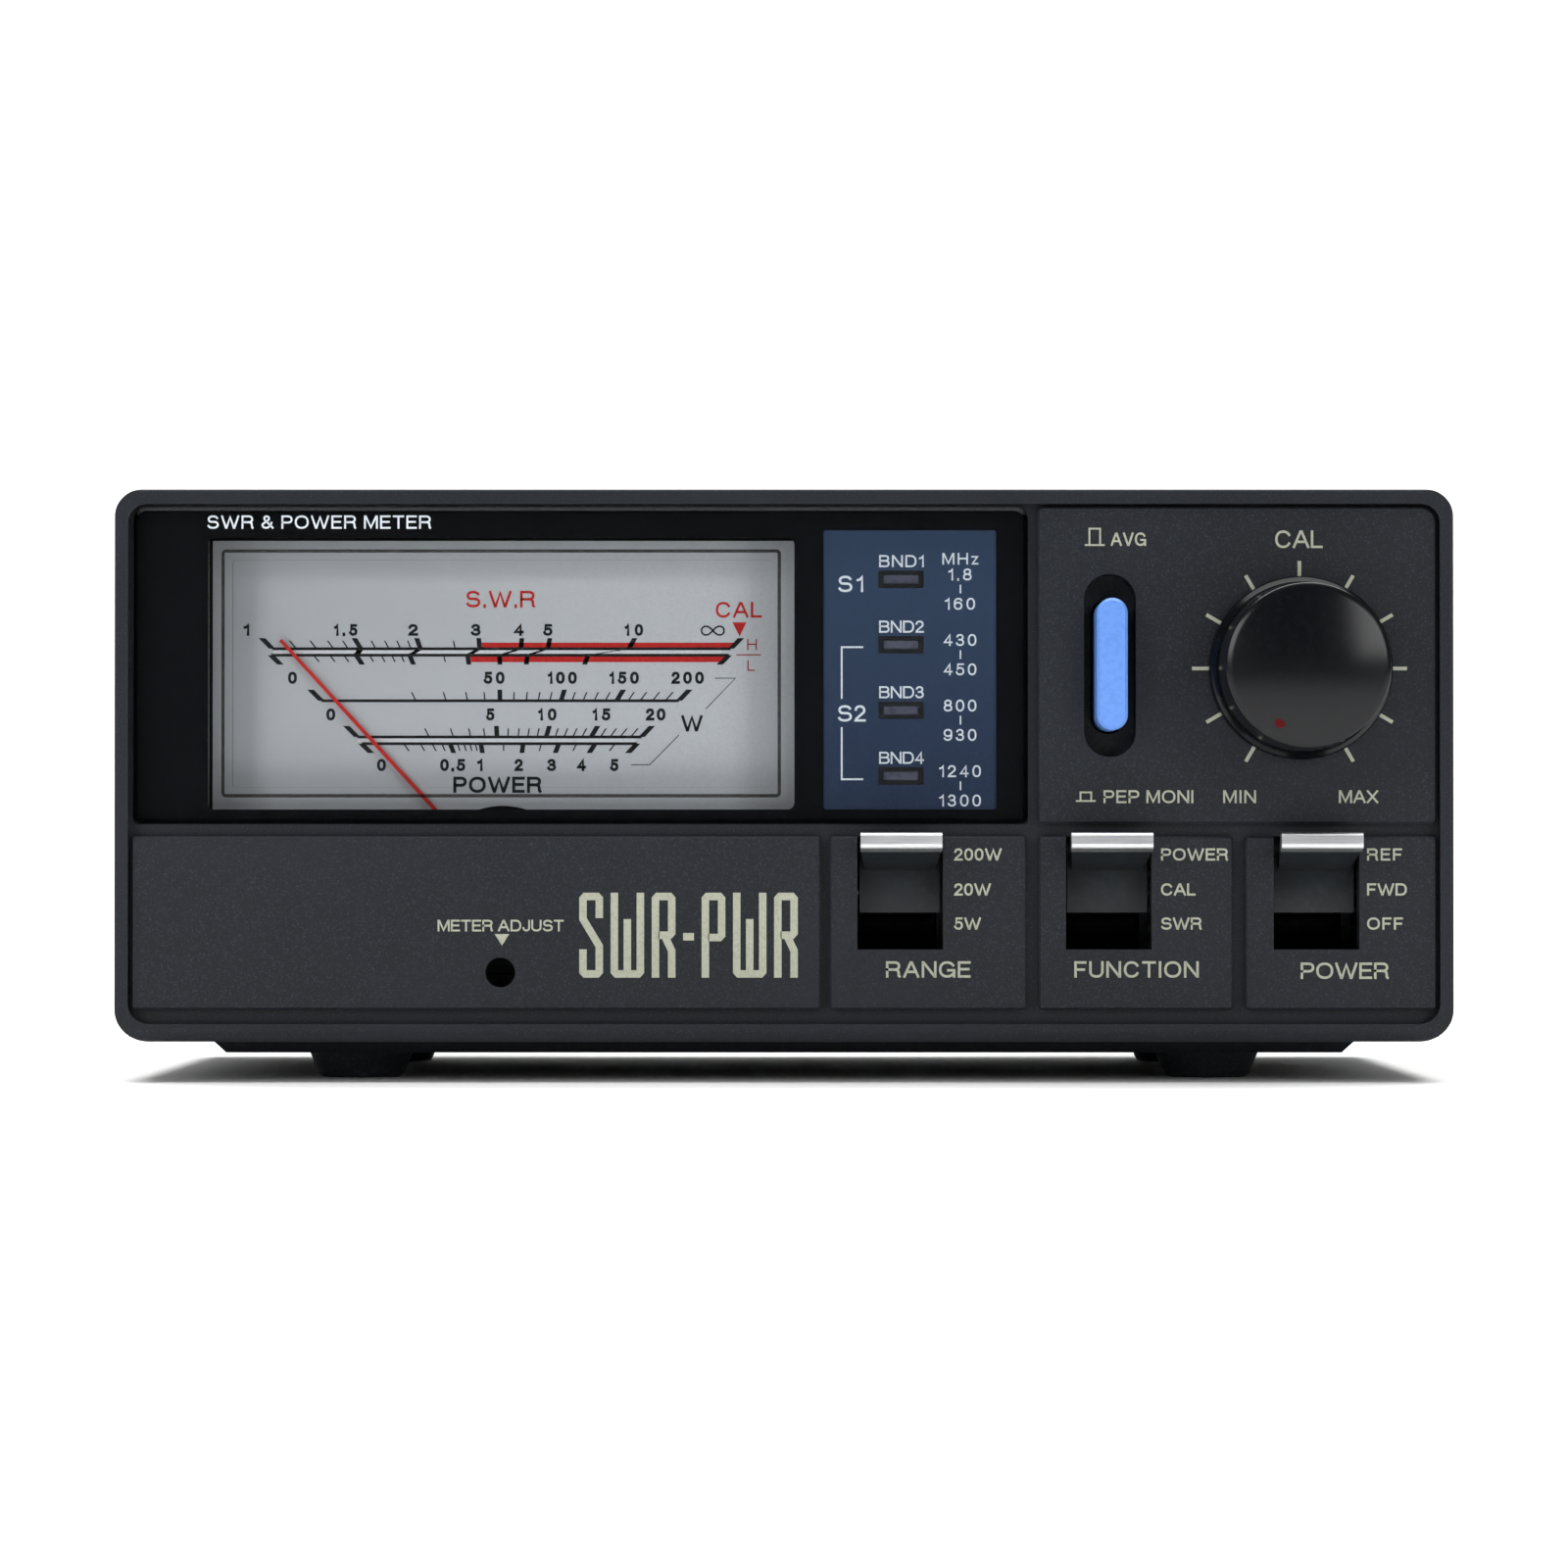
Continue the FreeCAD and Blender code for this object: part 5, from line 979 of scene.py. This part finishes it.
def dial_marks_tree():
    """Bars round a centre, each turned a step further about the depth axis."""
    tree, given = new_tree(
        "marks_round_a_knob",
        (
            ("Count", "NodeSocketInt"),
            ("First Angle", "NodeSocketFloat"),
            ("Step Angle", "NodeSocketFloat"),
            ("Radius", "NodeSocketFloat"),
            ("Bar Size", "NodeSocketVector"),
            ("Centre", "NodeSocketVector"),
            ("Ink", "NodeSocketMaterial"),
        ),
    )
    bar = add(tree, "GeometryNodeMeshCube", None, {"Size": given["Bar Size"]})
    lift = add(tree, "ShaderNodeCombineXYZ", None, {"Z": given["Radius"]})
    raised = add(
        tree,
        "GeometryNodeTransform",
        None,
        {"Geometry": bar.outputs["Mesh"], "Translation": lift.outputs["Vector"]},
    )
    points = add(
        tree,
        "GeometryNodeMeshLine",
        {"Offset": (0, 0, 0)},
        {"Count": given["Count"], "Start Location": given["Centre"]},
    )
    index = add(tree, "GeometryNodeInputIndex").outputs["Index"]
    step = add(tree, "ShaderNodeMath", None, {0: index, 1: given["Step Angle"]}, operation="MULTIPLY")
    angle = add(tree, "ShaderNodeMath", None, {0: step.outputs[0], 1: given["First Angle"]}, operation="ADD")
    turn = add(tree, "ShaderNodeCombineXYZ", None, {"Y": angle.outputs[0]})
    spread = add(
        tree,
        "GeometryNodeInstanceOnPoints",
        None,
        {
            "Points": points.outputs["Mesh"],
            "Instance": raised.outputs["Geometry"],
            "Rotation": turn.outputs["Vector"],
        },
    )
    close_tree(tree, spread.outputs["Instances"], given["Ink"])
    return tree


knob_marks = grow(
    "knob_marks",
    dial_marks_tree(),
    {
        "Count": 11,
        "First Angle": math.radians(-150),
        "Step Angle": math.radians(30),
        "Radius": 11.5 * MM,
        "Bar Size": (0.42 * MM, INK * MM, 1.9 * MM),
        "Centre": at(KNOB[0], TILE_Y - 0.002 - INK / 2, KNOB[1]),
        "Ink": beige_ink,
    },
)
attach(knob_marks, CASE)

THREAD_R = 7.94
CORE_R = 7.38
THREAD_PITCH = 25.4 / 24


def thread_tree():
    """A sharp ridge wound round a barrel, along the depth axis."""
    tree, given = new_tree(
        "screw_thread",
        (
            ("Turns", "NodeSocketFloat"),
            ("Radius", "NodeSocketFloat"),
            ("Length", "NodeSocketFloat"),
            ("Ridge", "NodeSocketFloat"),
            ("Start", "NodeSocketVector"),
            ("Metal", "NodeSocketMaterial"),
        ),
    )
    helix = add(
        tree,
        "GeometryNodeCurveSpiral",
        {"Resolution": 48},
        {
            "Rotations": given["Turns"],
            "Start Radius": given["Radius"],
            "End Radius": given["Radius"],
            "Height": given["Length"],
        },
    )
    upright = add(tree, "GeometryNodeSetCurveNormal", None, {"Curve": helix.outputs["Curve"]}, mode="Z_UP")
    edge = add(tree, "GeometryNodeCurvePrimitiveCircle", {"Resolution": 4}, {"Radius": given["Ridge"]})
    ridge = add(
        tree,
        "GeometryNodeCurveToMesh",
        {"Fill Caps": True},
        {"Curve": upright.outputs["Curve"], "Profile Curve": edge.outputs["Curve"]},
    )
    laid = add(
        tree,
        "GeometryNodeTransform",
        {"Rotation": (-math.pi / 2, 0, 0)},
        {"Geometry": ridge.outputs["Mesh"], "Translation": given["Start"]},
    )
    close_tree(tree, laid.outputs["Geometry"], given["Metal"])
    return tree


thread = thread_tree()


def threaded_sockets(node, name, centres, start, length):
    """The sockets with their barrels turned down to the thread's core, and a ridge wound on each."""
    body = bmesh.new()
    body.from_mesh(NODES[node].data)
    bmesh.ops.remove_doubles(body, verts=body.verts, dist=1e-6)
    for v in body.verts:
        for x in centres:
            axis = at(x, 0, SOCKET_Z)
            out = Vector((v.co.x - axis.x, 0, v.co.z - axis.z))
            if abs(out.length / MM - THREAD_R) < 0.03 and v.co.y > at(0, start - 0.2, 0).y:
                out *= CORE_R * MM / out.length
                v.co.x, v.co.z = axis.x + out.x, axis.z + out.z
    ridge = 0.5
    for x in centres:
        wound = grow(
            "ridge",
            thread,
            {
                "Turns": (length - 2 * ridge) / THREAD_PITCH,
                "Radius": (THREAD_R - ridge - 0.01) * MM,
                "Length": (length - 2 * ridge) * MM,
                "Ridge": ridge * MM,
                "Start": at(x, start + ridge, SOCKET_Z),
                "Metal": nickel,
            },
        )
        body.from_mesh(wound.data)
        bpy.data.objects.remove(wound)
    data = bpy.data.meshes.new(name)
    body.to_mesh(data)
    body.free()
    data.materials.append(nickel)
    for face in data.polygons:
        face.material_index = 0
        face.use_smooth = False
    made = new_object(name, data)
    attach(made, CASE)
    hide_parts(node)


threaded_sockets("uhf_sockets", "uhf_threaded_sockets", UHF_X, REAR_Y + 1.8, 13.4)
threaded_sockets("n_sockets", "n_threaded_sockets", N_X, REAR_Y + 4.8, 11.0)


# ---- the knob ----

KNOB_FRONT = -13.4
KNOB_BACK = 0.2
DOME_R = 9.28
DOME_DROP = 1.05


RING = 96  # corners round a turned body


def turned(name, axis, profile, finish, body):
    """A closed body turned about a line along the depth axis, from (radius, depth) points."""
    shape = bmesh.new()
    rings = []
    for radius, depth in profile:
        turns = RING if radius else 1
        ring = []
        for step in range(turns):
            angle = 2 * math.pi * step / turns
            place = at(axis[0] + radius * math.sin(angle), depth, axis[1] + radius * math.cos(angle))
            ring.append(shape.verts.new(place))
        rings.append(ring)
    for near, far in zip(rings, rings[1:]):
        for step in range(RING):
            corners = [near[step % len(near)], near[(step + 1) % len(near)]]
            corners += [far[(step + 1) % len(far)], far[step % len(far)]]
            shape.faces.new(dict.fromkeys(corners))
    bmesh.ops.recalc_face_normals(shape, faces=shape.faces)
    data = bpy.data.meshes.new(name)
    shape.to_mesh(data)
    shape.free()
    data.materials.append(finish)
    data.polygons.foreach_set("use_smooth", [True] * len(data.polygons))
    data.set_sharp_from_angle(angle=math.radians(38))
    made = new_object(name, data)
    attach(made, body)
    return made


def smooth_knob():
    """The knob with its domed face, tapered side and stepped skirt."""
    dome = [(DOME_R * i / 14, KNOB_FRONT + DOME_DROP * (i / 14) ** 2) for i in range(15)]
    shoulder = KNOB_FRONT + DOME_DROP
    side = [(9.39, shoulder + 0.09), (9.42, shoulder + 0.2)]
    side += [(9.75, KNOB_BACK - 3.4), (9.82, KNOB_BACK - 2.95), (9.98, KNOB_BACK - 2.6)]
    skirt = [(10.35, KNOB_BACK - 2.4), (10.53, KNOB_BACK - 2.2), (10.6, KNOB_BACK - 1.9), (10.6, KNOB_BACK)]
    hollow_end = KNOB_FRONT + 4.2
    inside = [(8.7, KNOB_BACK), (8.2, hollow_end), (4.6, hollow_end), (4.6, -2.4), (0, -2.4)]
    made = turned("smooth_knob", KNOB, dome + side + skirt + inside, knob_abs, "calibration")
    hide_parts("cal_knob")


def painted_dot():
    """A low dome of red paint in the knob's face, at the MIN mark."""
    angle = math.radians(-153.5)
    reach = 7.32
    depth = KNOB_FRONT + DOME_DROP * (reach / DOME_R) ** 2
    centre = (KNOB[0] + reach * math.sin(angle), KNOB[1] + reach * math.cos(angle))
    dome = [(0, depth - 0.07), (0.3, depth - 0.06), (0.5, depth - 0.04), (0.64, depth)]
    under = [(0.64, depth + 0.1), (0, depth + 0.1)]
    turned("knob_dot", centre, dome + under, dot_paint, "calibration")


smooth_knob()
painted_dot()


# ---- stage, light and camera ----


PAPER_FRONT = -0.64
PAPER_BEND_Y = 1.1
PAPER_BEND_R = 0.5
PAPER_STEPS = 12
PAPER_TOP = 2.6
PAPER_HALF_WIDTH = 2.6


def studio():
    """A pale sweep of paper: floor, curve and back wall."""
    body = bmesh.new()
    profile = [(PAPER_FRONT, 0.0), (PAPER_BEND_Y, 0.0)]
    for step in range(1, PAPER_STEPS + 1):
        turn = math.pi / 2 * step / PAPER_STEPS
        out, up = PAPER_BEND_R * math.sin(turn), PAPER_BEND_R * (1 - math.cos(turn))
        profile.append((PAPER_BEND_Y + out, up))
    profile.append((PAPER_BEND_Y + PAPER_BEND_R, PAPER_TOP))
    sides = (-PAPER_HALF_WIDTH, PAPER_HALF_WIDTH)
    rows = [[body.verts.new((x, y, z)) for x in sides] for y, z in profile]
    for low, high in zip(rows, rows[1:]):
        body.faces.new([low[0], low[1], high[1], high[0]])
    data = bpy.data.meshes.new("paper_sweep")
    body.to_mesh(data)
    body.free()
    made, tree, out, place = new_material("white_paper_sweep")
    tone = blend_colours(tree, remap(tree, noise(tree, place, 300.0), 0.3, 0.7), "#f3f3f2", "#f7f7f6")
    dull = {"Roughness": 0.9, "Specular IOR Level": 0.1}
    shader = add(tree, "ShaderNodeBsdfPrincipled", dull, {"Base Color": tone})
    tree.links.new(shader.outputs["BSDF"], out.inputs["Surface"])
    data.materials.append(made)
    for face in data.polygons:
        face.use_smooth = True
    sweep = new_object("paper_sweep", data)


def softbox(name, place, aim, size, power):
    light = bpy.data.lights.new(name, "AREA")
    light.shape = "RECTANGLE"
    light.size, light.size_y = size
    light.energy = power
    made = new_object(name, light)
    made.location = place
    made.rotation_euler = (Vector(aim) - Vector(place)).to_track_quat("-Z", "Y").to_euler()


studio()
MIDDLE = (0, 0, 0.035)
softbox("left_softbox", (-0.82, -1.25, 0.48), MIDDLE, (0.6, 0.55), 6.6)
softbox("right_softbox", (0.82, -1.25, 0.44), MIDDLE, (0.6, 0.55), 5.6)
softbox("front_softbox", (0.0, -0.7, 1.2), MIDDLE, (1.2, 0.3), 2.5)
softbox("top_softbox", (0.0, -0.05, 1.1), MIDDLE, (1.4, 1.1), 15)
softbox("wall_light", (0, 0.6, 1.9), (0, 1.6, 0.5), (2.4, 0.6), 60)

world = bpy.data.worlds.new("studio_room")
world.use_nodes = True
world.node_tree.nodes["Background"].inputs["Color"].default_value = linear("#e6e9ee")
world.node_tree.nodes["Background"].inputs["Strength"].default_value = 0.08
bpy.context.scene.world = world

CAMERA_DISTANCE = 740.0
CAMERA_HEIGHT = 25.0
LENS = 146.9
RISE = math.radians(0.74)
camera = bpy.data.cameras.new("camera")
camera.lens = LENS
camera.sensor_width = 36.0
camera.clip_start = 0.05
eye = new_object("camera", camera)
eye.location = at(0, -CAMERA_DISTANCE, CAMERA_HEIGHT)
eye.rotation_euler = (math.pi / 2 + RISE, 0, 0)
bpy.context.scene.camera = eye
bpy.context.scene.view_settings.view_transform = "Standard"
